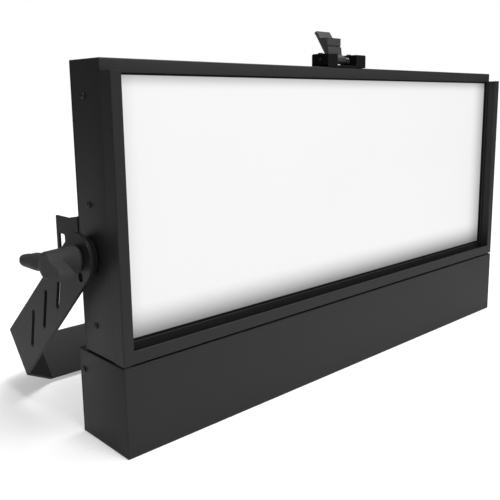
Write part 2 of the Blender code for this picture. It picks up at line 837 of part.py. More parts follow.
def make_display_window():
    block(
        "display_window",
        (
            DISPLAY_X - DISPLAY_WIDTH / 2,
            BASE_BACK - DISPLAY_THICKNESS,
            PANEL_ROW_HEIGHT - DISPLAY_HEIGHT / 2,
        ),
        (DISPLAY_X + DISPLAY_WIDTH / 2, BASE_BACK, PANEL_ROW_HEIGHT + DISPLAY_HEIGHT / 2),
        DISPLAY_GLASS,
    )


def make_power_supply():
    low = Vector((SUPPLY_LEFT, FRONT + SHEET + GAP, SHEET + GAP))
    high = low + Vector((SUPPLY_LENGTH, SUPPLY_DEPTH, SUPPLY_HEIGHT))
    supply = block("power_supply", low, high, ALUMINIUM, edge=EDGE_RADIUS)
    strip = block(
        "terminal_strip",
        (high.x - SHEET, low.y + SHEET, low.z + SHEET),
        (high.x + 4 * SHEET, high.y - SHEET, low.z + SUPPLY_HEIGHT / 2),
    )
    fuse(supply, strip)


def harness_x():
    return fin_pitch() / 2


def harness_y():
    return (SINK_FRONT + SINK_PLATE + HEAD_SHELL_BACK) / 2


def make_harness():
    """The lead from the control board up to the LED boards, with a quarter turn at its top."""
    x, y = harness_x(), harness_y()
    start = CONTROL_BOARD_HIGH + CONNECTOR_HEIGHT + GAP
    turn_height = TRAY_LOW + TRAY_TAPER + BOARD_MARGIN + 2 * HARNESS_RADIUS
    end_y = TRAY_BACK - TRAY_SHEET
    points = [(x, y, start), (x, y, (start + turn_height) / 2)]
    steps = 6
    for step in range(steps + 1):
        angle = math.pi / 2 * step / steps
        points.append(
            (
                x,
                y - HARNESS_BEND * (1 - math.cos(angle)),
                turn_height + HARNESS_BEND * math.sin(angle),
            )
        )
    points.append((x, end_y, turn_height + HARNESS_BEND))
    tube("led_harness", points, HARNESS_RADIUS, CABLE_JACKET, resolution=2)
    return turn_height + HARNESS_BEND


def tube(name, points, radius, look, resolution):
    curve = bpy.data.curves.new(name, "CURVE")
    curve.dimensions = "3D"
    curve.bevel_depth = radius
    curve.bevel_resolution = resolution
    curve.use_fill_caps = True
    spline = curve.splines.new("POLY")
    spline.points.add(len(points) - 1)
    for point, co in zip(spline.points, points):
        point.co = (*co, 1.0)
    made = bpy.data.objects.new(name, curve)
    PARTS.objects.link(made)
    curve.materials.append(look)


# Accessory channel
def make_rails():
    rail_high = HEAD_TOP - RAIL_DROP
    back = HEAD_FRONT - GAP
    for side, sign in SIDES.items():
        outer = HALF_WIDTH
        inner = outer - RAIL_SHEET
        profile = [
            (outer, FRONT),
            (outer, back),
            (inner, back),
            (inner, FRONT + RAIL_SHEET),
            (outer - RAIL_LIP_WIDTH, FRONT + RAIL_SHEET),
            (outer - RAIL_LIP_WIDTH, FRONT),
        ]
        plate(
            "rail_" + side,
            [[(sign * x, y) for x, y in profile]],
            rail_high - HEAD_BOTTOM,
            Matrix.Translation((0, 0, (HEAD_BOTTOM + rail_high) / 2)),
            POWDER_COAT,
        )
    half = HALF_WIDTH - RAIL_LIP_WIDTH - GAP
    floor = block(
        "rail_bottom",
        (-half, FRONT, HEAD_BOTTOM),
        (half, back, HEAD_BOTTOM + RAIL_SHEET),
        POWDER_COAT,
    )
    lip = block(
        "bottom_lip",
        (-half, FRONT, HEAD_BOTTOM),
        (half, FRONT + RAIL_SHEET, HEAD_BOTTOM + BOTTOM_LIP_HEIGHT),
    )
    fuse(floor, lip)


# Yoke and its pivots
def arm_taper():
    """What is cut off round the arm's head, and along its edges up to the corner."""
    half = YOKE_WIDTH / 2
    far = math.hypot(YOKE_ARM_LENGTH, half)
    start = math.atan2(half, YOKE_ARM_LENGTH) + math.acos(YOKE_HEAD_RADIUS / far)
    steps = 16
    turns = [start + (2 * math.pi - 2 * start) * step / steps for step in range(steps + 1)]
    outline = [(YOKE_HEAD_RADIUS * math.cos(a), YOKE_HEAD_RADIUS * math.sin(a)) for a in turns]
    outline += [(YOKE_ARM_LENGTH, -half), (YOKE_ARM_LENGTH, -YOKE_WIDTH)]
    outline += [(-YOKE_WIDTH, -YOKE_WIDTH), (-YOKE_WIDTH, YOKE_WIDTH)]
    return outline + [(YOKE_ARM_LENGTH, YOKE_WIDTH), (YOKE_ARM_LENGTH, half)]


def make_yoke():
    """A flat bar bent round the head. Along the arm is local +Y and across it is local +Z."""
    outer = [
        (ARM_OUTER, -YOKE_WIDTH),
        (ARM_OUTER, YOKE_ARM_LENGTH),
        (ARM_OUTER - YOKE_CORNER, YOKE_ARM_LENGTH + YOKE_CORNER),
    ]
    bend = YOKE_THICKNESS * math.tan(math.radians(YOKE_CORNER_TURN / 2))
    inner = [
        (ARM_INNER, -YOKE_WIDTH),
        (ARM_INNER, YOKE_ARM_LENGTH - bend),
        (ARM_OUTER - YOKE_CORNER - bend, YOKE_ARM_LENGTH + YOKE_CORNER - YOKE_THICKNESS),
    ]
    right = outer + [(-x, y) for x, y in reversed(outer)]
    left = [(-x, y) for x, y in inner] + list(reversed(inner))
    place_of_yoke = Matrix.Translation(PIVOT) @ Matrix.Rotation(
        math.radians(-YOKE_TILT), 4, "X"
    )
    yoke = plate("yoke", [right + left], YOKE_WIDTH, place_of_yoke, POWDER_COAT)
    sideways = place_of_yoke @ ALONG_X
    across = 2 * (ARM_OUTER + YOKE_THICKNESS)
    cut(yoke, plate("arm_taper_cutter", [arm_taper()], across, sideways))
    for number in range(SLOT_COUNT):
        middle = (SLOT_FIRST + number * SLOT_PITCH, 0.0)
        outline = slot_outline(middle, SLOT_LENGTH, SLOT_WIDTH, 180 - SLOT_TURN, steps=4)
        cut(yoke, plate(f"arm_slot_cutter_{number}", [outline], across, sideways))
    turn = math.radians(STOP_SLOT_ANGLE)
    middle = (STOP_SLOT_RADIUS * math.cos(turn), STOP_SLOT_RADIUS * math.sin(turn))
    outline = slot_outline(
        middle, STOP_SLOT_LENGTH, STOP_SLOT_WIDTH, STOP_SLOT_ANGLE, steps=4
    )
    cut(yoke, plate("stop_slot_cutter", [outline], across, sideways))
    cut(yoke, plate("pivot_cutter", [circle_outline((0, 0), STUD_HOLE, 24)], across, sideways))
    outer_face = YOKE_ARM_LENGTH + YOKE_CORNER
    for number, (x, hole) in enumerate(
        (
            (-CLAMP_HOLE_PITCH, OUTER_CLAMP_HOLE_RADIUS),
            (0.0, CLAMP_HOLE_RADIUS),
            (CLAMP_HOLE_PITCH, OUTER_CLAMP_HOLE_RADIUS),
        )
    ):
        ends = [
            place_of_yoke @ Vector((x, outer_face + depth, 0))
            for depth in (-2 * YOKE_THICKNESS, YOKE_THICKNESS)
        ]
        cutter = rod(f"clamp_hole_cutter_{number}", hole, ends[0], ends[1], steps=BORE_SIDES)
        cut(yoke, cutter)


def pivot_at(distance, sign):
    return PIVOT + Vector((sign * distance, 0, 0))


def make_pivot(side, sign):
    outward = Vector((sign, 0, 0))
    ring(
        "friction_disc_" + side,
        DISC_RADIUS,
        STUD_HOLE,
        DISC_THICKNESS,
        pivot_at(HALF_WIDTH + GAP, sign),
        outward,
        RUBBER,
        steps=DISC_SIDES,
        edge=EDGE_RADIUS,
    )
    ring(
        "pivot_insert_" + side,
        INSERT_RADIUS,
        STUD_HOLE,
        INSERT_LENGTH,
        pivot_at(HALF_WIDTH - SHEET - GAP, sign),
        -outward,
        STEEL,
        steps=BORE_SIDES,
    )
    ring(
        "washer_" + side,
        WASHER_RADIUS,
        STUD_HOLE,
        WASHER_THICKNESS,
        pivot_at(ARM_OUTER + GAP, sign),
        outward,
        STEEL,
        steps=SOCKET_SIDES,
    )


def make_knob(side, sign):
    """A clamp knob: a tapered hub, and a bar with a long finger and a short wing."""
    outward = Vector((sign, 0, 0))
    foot = pivot_at(KNOB_FOOT, sign)
    profile = [
        (0, KNOB_HUB_HEIGHT),
        (KNOB_HUB_TOP_RADIUS, KNOB_HUB_HEIGHT),
        (KNOB_HUB_RADIUS, 0),
        (0, 0),
    ]
    knob = turned("knob_" + side, profile, foot, outward, KNOB_PLASTIC, steps=SOCKET_SIDES)
    middle = pivot_at(KNOB_FOOT + KNOB_BAR_START + KNOB_BAR_DEPTH / 2, sign)
    bar = plate(
        "knob_bar_" + side,
        [KNOB_FINGER_OUTLINE + KNOB_WING_OUTLINE],
        KNOB_BAR_DEPTH,
        Matrix.Translation(middle) @ ALONG_X,
    )
    bevel(bar, KNOB_BAR_EDGE, segments=2)
    fuse(knob, bar)
    bore = rod(
        "knob_bore_" + side,
        STUD_HOLE,
        pivot_at(KNOB_FOOT - WASHER_THICKNESS, sign),
        pivot_at(KNOB_FOOT + KNOB_BORE_DEPTH, sign),
        steps=BORE_SIDES,
    )
    cut(knob, bore)
    rod(
        "knob_stud_" + side,
        STUD_RADIUS,
        pivot_at(HALF_WIDTH - SHEET - INSERT_LENGTH, sign),
        pivot_at(KNOB_FOOT + KNOB_BORE_DEPTH - GAP, sign),
        STEEL,
        steps=BORE_SIDES,
    )


# Rear lugs
def lug_screw_heights():
    return (LUG_MIDDLE_HEIGHT - LUG_SCREW_PITCH / 2, LUG_MIDDLE_HEIGHT + LUG_SCREW_PITCH / 2)


def lug_screw_x():
    return HALF_WIDTH - (LUG_FOOT + LUG_SHEET) / 2


def make_lug(side, sign):
    """An angle of sheet on the rear cover, whose free leg has an upright slot."""
    start = HEAD_BACK + GAP
    end = HEAD_BACK + LUG_REACH
    edge = LUG_MIDDLE_HEIGHT + LUG_HEIGHT / 2
    outline = [(start + reach, edge + rise) for reach, rise in LUG_SHOULDER]
    outline += [(end - LUG_CORNER, edge), (end, edge - LUG_CORNER)]
    outline += [(y, 2 * LUG_MIDDLE_HEIGHT - height) for y, height in reversed(outline)]
    low, high = outline[-1][1], outline[0][1]
    slot_middle = Vector((end - LUG_SLOT_FROM_END, LUG_MIDDLE_HEIGHT))
    slot_half = Vector((LUG_SLOT_WIDTH, LUG_SLOT_LENGTH)) / 2
    near, far = sorted((sign * HALF_WIDTH, sign * (HALF_WIDTH - LUG_SHEET)))
    lug = plate(
        "rear_lug_" + side,
        [outline, rectangle(slot_middle - slot_half, slot_middle + slot_half)],
        LUG_SHEET,
        Matrix.Translation(((near + far) / 2, 0, 0)) @ ALONG_X,
        POWDER_COAT,
    )
    near, far = sorted((sign * (HALF_WIDTH - LUG_SHEET / 2), sign * (HALF_WIDTH - LUG_FOOT)))
    fuse(
        lug,
        block("lug_foot_" + side, (near, start, low), (far, start + LUG_SHEET, high)),
    )
    for number, height in enumerate(lug_screw_heights()):
        seat = (sign * lug_screw_x(), start + LUG_SHEET, height)
        cut(lug, shank_cutter(f"lug_hole_{side}_{number}", seat, (0, 1, 0), 2 * LUG_SHEET))
        screw(f"lug_screw_{side}_{number + 1}", seat, (0, 1, 0), LUG_SHEET + SHEET + GAP)


# Latch
def make_latch_base(casing):
    left, right = LATCH_MIDDLE - LATCH_WIDTH / 2, LATCH_MIDDLE + LATCH_WIDTH / 2
    back = HEAD_FRONT + LATCH_DEPTH
    ear_top = LATCH_BOTTOM + LATCH_EAR_HEIGHT
    base = block(
        "latch_base",
        (left, HEAD_FRONT, LATCH_BOTTOM),
        (right, back, LATCH_BOTTOM + LATCH_PLATE),
        KNOB_PLASTIC,
    )
    ears = {"left": (left, left + LATCH_LEFT_EAR), "right": (right - LATCH_RIGHT_EAR, right)}
    for side, (low, high) in ears.items():
        fuse(
            base,
            block(
                "latch_ear_" + side,
                (low, HEAD_FRONT, LATCH_BOTTOM),
                (high, back, ear_top),
            ),
        )
        seat = ((low + high) / 2, LATCH_PIN.y + 3 * LATCH_PIN_RADIUS, ear_top)
        depth = LATCH_EAR_HEIGHT + 2 * SHEET
        through = shank_cutter("latch_hole_" + side, seat, (0, 0, 1), depth)
        cut(base, through)
        cut(casing, through)
        screw("latch_screw_" + side, seat, (0, 0, 1), LATCH_EAR_HEIGHT + SHEET)
    half = Vector((LATCH_WIDTH / 2, 0, 0))
    ends = (LATCH_PIN - half, LATCH_PIN + half)
    reach = Vector((SHEET, 0, 0))
    bore = rod("latch_pin_bore", PIN_HOLE, ends[0] - reach, ends[1] + reach, steps=PIN_SIDES)
    cut(base, bore)
    rod("latch_pin", LATCH_PIN_RADIUS, ends[0], ends[1], STEEL, steps=PIN_SIDES)


def make_latch_lever():
    """A thumb lever on the pin. The outline is in the plane across the pin, as (back, up)."""
    hub = [
        (
            -LEVER_HUB_RADIUS * math.cos(math.pi * step / 8),
            -LEVER_HUB_RADIUS * math.sin(math.pi * step / 8),
        )
        for step in range(9)
    ]
    face = LEVER_FACE_BACK
    outline = [(-LEVER_HUB_RADIUS, LEVER_SHOULDER)] + hub
    outline += [
        (LEVER_HUB_RADIUS + LEVER_HEEL, LEVER_SHOULDER),
        (LEVER_TAB_BACK + LEVER_TAB_THICKNESS, LEVER_TAB_HEIGHT - LEVER_TAB_THICKNESS / 2),
        (LEVER_TAB_BACK, LEVER_TAB_HEIGHT),
        (face + LEVER_STEP, LEVER_FACE_HEIGHT),
        (face + LEVER_STEP, LEVER_STEP_HEIGHT),
        (face, LEVER_STEP_HEIGHT),
        (face - LEVER_STEP, LEVER_FOOT_HEIGHT),
    ]
    middle = Vector(((LEVER_LEFT + LEVER_RIGHT) / 2, 0, 0))
    plate(
        "latch_lever",
        [outline, circle_outline((0, 0), PIN_HOLE, PIN_SIDES)],
        LEVER_WIDTH,
        Matrix.Translation(LATCH_PIN + middle) @ ALONG_X,
        LATCH_PLASTIC,
    )


def make_latch_spring():
    """A torsion spring on the pin, beside the lever, as one tube with two straight tails."""
    wire = SPRING_WIRE / 2
    radius = LATCH_PIN_RADIUS + GAP + wire
    first = LEVER_RIGHT + GAP + wire
    last = LATCH_WIDTH / 2 - LATCH_RIGHT_EAR - GAP - wire
    count = SPRING_TURNS * SPRING_POINTS
    start_angle = math.radians(-90)
    points = []
    for step in range(count + 1):
        angle = start_angle + 2 * math.pi * SPRING_TURNS * step / count
        x = first + (last - first) * step / count
        points.append(
            LATCH_PIN + Vector((x, radius * math.cos(angle), radius * math.sin(angle)))
        )
    back_tail = points[0] + Vector((0, -SPRING_TAIL, 0))
    front_tail = points[-1] + Vector((0, SPRING_TAIL, 0))
    points = [back_tail] + points + [front_tail]
    least = min(
        (points[i] - points[j]).length
        for i in range(len(points))
        for j in range(i + SPRING_POINTS // 2, len(points))
    )
    print(f"latch spring: least gap to itself {1000 * (least - SPRING_WIRE):.2f} mm")
    tube("latch_spring", points, wire, STEEL, resolution=1)


# Side screws, and the holes that pass through more than one piece
def make_side_screws(casing, sink, base, panel):
    for side, sign in SIDES.items():
        outward = (sign, 0, 0)
        x = sign * HALF_WIDTH
        for number, rise in enumerate(SIDE_SCREW_RISES):
            seat = (x, sink_flange_middle(), HEAD_BOTTOM + rise)
            hole = shank_cutter(f"side_hole_{side}_{number}", seat, outward, 2 * SCREW_REACH)
            cut(casing, hole)
            cut(sink, hole)
            screw(f"side_screw_{side}_{number + 1}", seat, outward)
        seat = (x, PANEL_INSIDE - PANEL_FLANGE_DEPTH / 2, BASE_HEIGHT - BASE_SCREW_DROP)
        hole = shank_cutter(f"base_hole_{side}", seat, outward, 2 * SCREW_REACH)
        cut(base, hole)
        cut(panel, hole)
        screw(f"base_screw_{side}", seat, outward, SHEET + PANEL_FLANGE_SHEET)


def make_cover_screws(sink):
    for number, (x, height) in enumerate(cover_screw_places()):
        seat = (x, HEAD_BACK, height)
        cut(sink, shank_cutter(f"cover_hole_{number}", seat, (0, 1, 0), 2 * SCREW_REACH))
        screw(f"cover_screw_{number + 1}", seat, (0, 1, 0), SCREW_REACH)


def main():
    casing = make_head_casing()
    make_rear_cover()
    tray = make_light_box()
    sink = make_heat_sink()
    base = make_base_casing()
    panel = make_control_panel()
    for side, sign in SIDES.items():
        make_led_board(side, sign)
        make_pivot(side, sign)
        make_knob(side, sign)
        make_lug(side, sign)
        stud_bore = rod(
            "stud_bore_" + side,
            STUD_HOLE,
            pivot_at(HALF_WIDTH - 2 * SHEET, sign),
            pivot_at(HALF_WIDTH + SHEET, sign),
            steps=BORE_SIDES,
        )
        cut(casing, stud_bore)
    make_rails()
    make_yoke()
    for name, x in socket_places().items():
        make_socket(name, x)
    for name, x in button_places().items():
        make_button(name, x)
    make_control_board()
    make_display_window()
    make_power_supply()
    harness_height = make_harness()
    x, y = harness_x(), harness_y()
    riser = rod(
        "harness_riser",
        HARNESS_GROMMET,
        (x, y, BASE_HEIGHT - 3 * SHEET),
        (x, y, HEAD_BOTTOM + 3 * SHEET),
        steps=PIN_SIDES,
    )
    cut(base, riser)
    cut(casing, riser)
    passage = rod(
        "harness_passage",
        HARNESS_GROMMET,
        (x, TRAY_BACK - 3 * TRAY_SHEET, harness_height),
        (x, SINK_FRONT + 2 * SINK_PLATE, harness_height),
        steps=PIN_SIDES,
    )
    cut(tray, passage)
    cut(sink, passage)
    make_latch_base(casing)
    make_latch_lever()
    make_latch_spring()
    make_side_screws(casing, sink, base, panel)
    make_cover_screws(sink)


main()
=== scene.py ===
"""The looks of a panel-type LED soft light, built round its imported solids.

Metres, +Z up. The lit face looks along -Y and the origin is the centre of the base's bottom face.
"""

import json
import math

import bmesh
import bpy
from mathutils import Matrix, Vector


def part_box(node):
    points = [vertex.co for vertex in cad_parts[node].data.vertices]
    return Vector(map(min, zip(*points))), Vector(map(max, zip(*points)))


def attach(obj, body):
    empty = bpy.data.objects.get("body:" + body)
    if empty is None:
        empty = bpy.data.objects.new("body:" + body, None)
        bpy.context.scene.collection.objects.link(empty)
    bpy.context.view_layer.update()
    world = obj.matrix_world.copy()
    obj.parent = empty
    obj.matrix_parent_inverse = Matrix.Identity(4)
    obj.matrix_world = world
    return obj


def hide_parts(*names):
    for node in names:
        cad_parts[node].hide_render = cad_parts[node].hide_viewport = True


MM = 0.001

# Camera, as the photograph was taken
CAMERA_PLACE = Vector((-0.5727, -0.4983, 0.2966))
CAMERA_AZIMUTH = -43.8504
CAMERA_DROP = 10.2722
CAMERA_ROLL = -0.4376
CAMERA_LENS = 48.469
CAMERA_SHIFT = (-0.0457, -0.0539)

# Sheet metal and its edges
SHEET = 2.0 * MM
SHELL_EDGE = 1.2 * MM
FINE_EDGE = 0.35 * MM
TRIM_EDGE = 0.3 * MM
CREASE = 35.0
GAP = 0.3 * MM
SEAM = 1.2 * MM
CLOSE_SEAM = 0.02 * MM
RAIL_SHEET = 1.6 * MM
RAIL_EDGE = 0.45 * MM
RAIL_FOLD = 1.0 * MM

# How near two points are when they count as one
CLOSE = 0.0001 * MM
MERGE = 0.001 * MM
CURVE_MERGE = 0.002 * MM

# Pan-head screw. Its outline is (share of its radius, share of its height).
SCREW_HEAD_RADIUS = 2.7 * MM
SCREW_HEAD_HEIGHT = 1.2 * MM
SCREW_SHANK_RADIUS = 1.5 * MM
SCREW_SHANK_LENGTH = 5.0 * MM
SCREW_OUTLINE = ((0.0, 1.0), (0.432, 1.0), (0.72, 0.94), (0.93, 0.66), (1.0, 0.35), (1.0, 0.0))
RECESS_REACH = 0.62 * SCREW_HEAD_RADIUS
RECESS_HALF = 0.13 * SCREW_HEAD_RADIUS
RECESS_DEPTH = 0.45 * SCREW_HEAD_HEIGHT
SCREW_TWIST = 370.0
SCREW_DIRECTIONS = {
    "side_screw_left": (-1, 0, 0),
    "side_screw_right": (1, 0, 0),
    "base_screw_left": (-1, 0, 0),
    "base_screw_right": (1, 0, 0),
    "cover_screw": (0, 1, 0),
    "lug_screw": (0, 1, 0),
    "latch_screw": (0, 0, 1),
}

# Window, and the black ring that shows inside the casing's opening: partly a black trim, partly
# painted shade for the dark gap round the diffuser
RING_SHOW = 1.8 * MM
RING_WIDTH = 3.5 * MM
RING_SIDE_WIDTH = 2.5 * MM

# Rear cover, with its rows of vents
COVER_CORNER = 1.0 * MM
VENT = (24.0 * MM, 4.0 * MM)
VENT_COUNT = 13
VENT_PITCH = 36.0 * MM
VENT_INSET = 28.0 * MM

# Yoke
YOKE_TILT = 41.0
YOKE_WIDTH = 52.0 * MM
YOKE_HEAD_RADIUS = 22.0 * MM
YOKE_THICKNESS = 3.0 * MM
YOKE_ARM = 183.5 * MM
YOKE_CORNER = 37.5 * MM
YOKE_CORNER_TURN = 45.0
YOKE_BEND_RADIUS = 1.6 * MM
YOKE_BEND_STEPS = 6
YOKE_SLOT = (40.5 * MM, 5.2 * MM)
YOKE_SLOT_COUNT = 3
YOKE_SLOT_FIRST = 51.5 * MM
YOKE_SLOT_PITCH = 39.3 * MM
YOKE_SLOT_TURN = 35.5
STOP_SLOT = (8.5 * MM, 7.0 * MM)
STOP_SLOT_RADIUS = 15.9 * MM
STOP_SLOT_ANGLE = -62.0
CLAMP_HOLES = ((-60.0 * MM, 5.5 * MM), (0.0, 6.5 * MM), (60.0 * MM, 5.5 * MM))
STUD_RADIUS = 4.0 * MM
STUD_HOLE = 4.3 * MM

# Friction discs, washers and clinch nuts, which all turn about the pivot's axis
DISC_EDGE = 0.8 * MM
DISC_GROOVE = 0.5 * MM
WASHER_EDGE = 0.25 * MM
NUT_EDGE = 0.5 * MM
NUT_COLLAR = 0.30
NUT_SHOULDER = 0.36
NUT_WAIST = 0.88

# Clamp knob: its hub, and a bar that starts and ends at these heights over the hub's foot
KNOB_FOOT_RADIUS = 12.0 * MM
KNOB_TOP_RADIUS = 10.2 * MM
KNOB_HEIGHT = 26.9 * MM
KNOB_FOOT_EDGE = 0.6 * MM
KNOB_TOP_EDGE = 1.2 * MM
KNOB_BORE_DEPTH = 18.0 * MM
KNOB_BAR = (14.4 * MM, 27.9 * MM)
KNOB_CREASE = 28.0

# The bar's wing starts this many millimetres before the pivot, and leans by a share of its reach
KNOB_WING = -9.0
KNOB_WING_TWIST = 0.22
KNOB_MOST_TWIST = 0.4

# The bar's stations in millimetres, as (back, low, high, inset, corner radius)
KNOB_STATIONS = (
    (-26.2, -5.6, -3.4, 0.0, 0.4),
    (-25.9, -7.4, -2.3, 0.0, 0.6),
    (-25.3, -9.9, -0.8, 0.0, 0.7),
    (-24.8, -9.9, 0.3, 0.0, 0.7),
    (-18.0, -9.6, 1.8, 0.0, 0.7),
    (-12.5, -9.4, 3.0, 0.0, 0.8),
    (-10.4, -9.4, 5.0, 0.0, 1.0),
    (-5.5, -11.6, 9.5, 0.0, 1.6),
    (-4.0, -12.1, 9.5, 0.0, 1.8),
    (1.0, -12.4, 9.2, 0.0, 2.0),
    (4.8, -11.7, 8.9, 0.1, 2.6),
    (6.7, -11.2, 8.4, 0.3, 3.2),
    (9.0, -10.0, 7.6, 0.5, 4.4),
    (11.5, -9.3, 6.4, 1.1, 5.2),
    (14.5, -9.2, 5.3, 1.3, 5.3),
    (17.5, -9.6, 5.2, 0.6, 6.0),
    (21.0, -10.3, 5.3, 0.0, 6.6),
    (28.0, -10.6, 4.4, 0.0, 6.6),
    (35.0, -10.5, 2.6, 0.0, 6.3),
    (41.0, -10.4, 1.2, 0.1, 5.5),
    (45.5, -10.2, 0.6, 0.3, 4.8),
    (48.2, -9.8, 0.0, 0.9, 4.2),
    (50.0, -8.9, -1.0, 2.1, 3.2),
    (50.9, -7.2, -2.9, 4.2, 1.6),
)
THREAD_PITCH = 1.25 * MM
THREAD_DEPTH = 0.5 * MM

# Rear lug, as distances behind the cover
LUG_SHEET = 2.0 * MM
LUG_SLOT = (10.5 * MM, 14.0 * MM)
LUG_SLOT_CORNER = 1.8 * MM
LUG_SLOT_BACK = 32.0 * MM
LUG_CORNER = 1.2 * MM
LUG_SHOULDER = ((0.0, 3.4 * MM), (7.0 * MM, 2.3 * MM), (12.6 * MM, 1.3 * MM), (19.0 * MM, 0.0))

# Latch: its plate, its ears and its pin
LATCH_PLATE = 2.2 * MM
LATCH_PLATE_EDGE = 0.4 * MM
LATCH_LEFT_EAR = 15.5 * MM
LATCH_RIGHT_EAR = 16.0 * MM
LATCH_EAR_EDGE = 0.6 * MM
LATCH_EAR_CORNERS = (0.3 * MM, 0.3 * MM, 2.0 * MM, 1.2 * MM)
PIN_RADIUS = 2.0 * MM
PIN_INSET = 0.2 * MM
PIN_EDGE = 0.5 * MM

# Thumb lever: points in millimetres as (back, up) from its pin, and one rib of its ribbed back,
# as (share of the pitch, share of the depth)
LEVER_HUB = 4.3 * MM
LEVER_EDGE = 0.25 * MM
LEVER_HEEL = (5.1, 2.6)
LEVER_TIP = (22.7, 29.5)
LEVER_TAB = ((19.5, 31.1), (15.0, 24.7), (13.9, 23.8), (3.6, 23.3), (3.6, 15.6), (4.4, 15.1))
LEVER_FACE = ((4.4, 14.5), (2.7, 14.0), (1.8, 6.2), (-4.3, 2.6))
LEVER_RIBS = 11
LEVER_RIBBED = (0.14, 0.93)
LEVER_RIB = ((0.0, 0.0), (0.25, 1.0), (0.55, 1.0), (0.75, 0.0))
LEVER_RIB_DEPTH = 0.7 * MM

# Latch spring
SPRING_WIRE = 0.45 * MM
SPRING_TURNS = 5
SPRING_STEPS = 32
SPRING_TAIL = 7.5 * MM

# Control panel
PANEL_CORNER = 0.8 * MM
PANEL_FLANGE = 1.5 * MM
FLANGE_ROOM = SHEET + 2 * GAP + MM

# Sockets: their bore, and their collar's rounding as (in from its edge, below its mouth)
SOCKET_RADIUS = 12.0 * MM
SOCKET_BORE = 10.2 * MM
SOCKET_FLOOR = 14.0 * MM
SOCKET_LIP = 0.5 * MM
COLLAR_ROUNDING = ((1.4 * MM, 0.0), (0.4 * MM, 0.6 * MM), (0.0, 1.6 * MM))
SOCKETS = ("power_inlet", "power_outlet", "dmx_in", "dmx_out")

# What is in the sockets. Drops are below the mouth.
POWER_POST_RADIUS = 6.4 * MM
POWER_POST_DROP = 2.5 * MM
POWER_POST_EDGE = 0.6 * MM
BLADE = (1.0 * MM, 4.4 * MM)
BLADE_EDGE = 0.15 * MM
BLADE_INSET = 3.2 * MM
BLADE_PROUD = 0.4 * MM
BLADE_TURNS = (90, 210, 330)
KEY = (1.8 * MM, 2.2 * MM)
KEY_DROP = 1.0 * MM
KEY_EDGE = 0.25 * MM
KEY_SINK = 0.5 * MM
KEY_TURNS = (60, 180, 300)
CONTACT_CIRCLE = 5.2 * MM
CONTACT_TURNS = (45, 135, 270)
CONTACT_PIN_RADIUS = 1.2 * MM
CONTACT_PIN_DROP = 4.0 * MM
CONTACT_PIN_TIP = ((0.0, 0.0), (0.7 * MM, 0.2 * MM), (1.2 * MM, 0.9 * MM))
DATA_KEY = (2.6 * MM, 2.0 * MM)
DATA_KEY_SINK = 0.6 * MM
FACE_DROP = 1.2 * MM
FACE_ROOM = 1.0 * MM
CONTACT_HOLE_RADIUS = 1.7 * MM
SLEEVE = (1.2 * MM, 1.6 * MM)
SLEEVE_DROP = 0.8 * MM
CATCH = (4.8 * MM, 2.0 * MM)
CATCH_DEPTH = 2.0 * MM
CATCH_RISE = 1.6 * MM

# Display
DISPLAY_FRAME = 1.2 * MM
DISPLAY_SINK = 0.5 * MM
DISPLAY_CORNER = 0.8 * MM
DISPLAY_INNER_CORNER = 0.4 * MM
PANE_EDGE = 0.2 * MM

# Buttons: their dome as (radius, drop), and icons in millimetres
BUTTONS = ("menu", "down", "up", "enter")
BUTTON_RADIUS = 5.0 * MM
BUTTON_PROUD = 1.9 * MM
BUTTON_DOME = ((0.0, 0.0), (2.6, 0.04), (3.9, 0.2), (4.7, 0.7), (5.0, 1.4))
ICON_THICKNESS = 0.4 * MM
ICON_EDGE = 0.05 * MM
ICON_SHOW = 0.05 * MM
ICON_HALF = 1.7
ICON_BAR_HALF = 0.22
ICON_BAR_HEIGHTS = (-1.1, 0.0, 1.1)
ICON_RING_BORE = 1.15
ICON_FOOT = -1.0
ICON_PEAK = 1.4

# Stage, with its lamps as (name, place, aim, size, watts). Fades are (from, to, start, end).
SENSOR_WIDTH = 36.0
CLIPPING = (0.05, 50.0)
SKY_LIGHT = 0.35
WHITE = (1.0, 1.0, 1.0, 1.0)
GLOSS_GREY = (0.8, 0.8, 0.8, 1.0)
CEILING_FADE = (-0.10, 0.10, 0.25, 0.12)
FLOOR_SIZE = 6.0
FLOOR_COLOR = (0.8, 0.8, 0.8)
FLOOR_GLOW = (0.5, 1.5, 0.32, 0.76)
LAMPS = (
    ("overhead_softbox", (0.3, -0.1, 1.3), (0.0, 0.0, 0.15), (0.9, 0.9), 11.0),
    ("front_softbox", (1.2, -1.6, 0.8), (0.0, 0.0, 0.15), (1.0, 0.8), 5.5),
    ("knob_softbox", (-0.28, -0.45, 1.2), (-0.33, 0.0, 0.17), (0.35, 0.35), 9.0),
)

UPRIGHT = Matrix.Rotation(math.radians(90), 4, "X")
ACROSS = Matrix(((0, 0, 1), (1, 0, 0), (0, 1, 0))).to_4x4()
SIDES = {"left": -1, "right": 1}

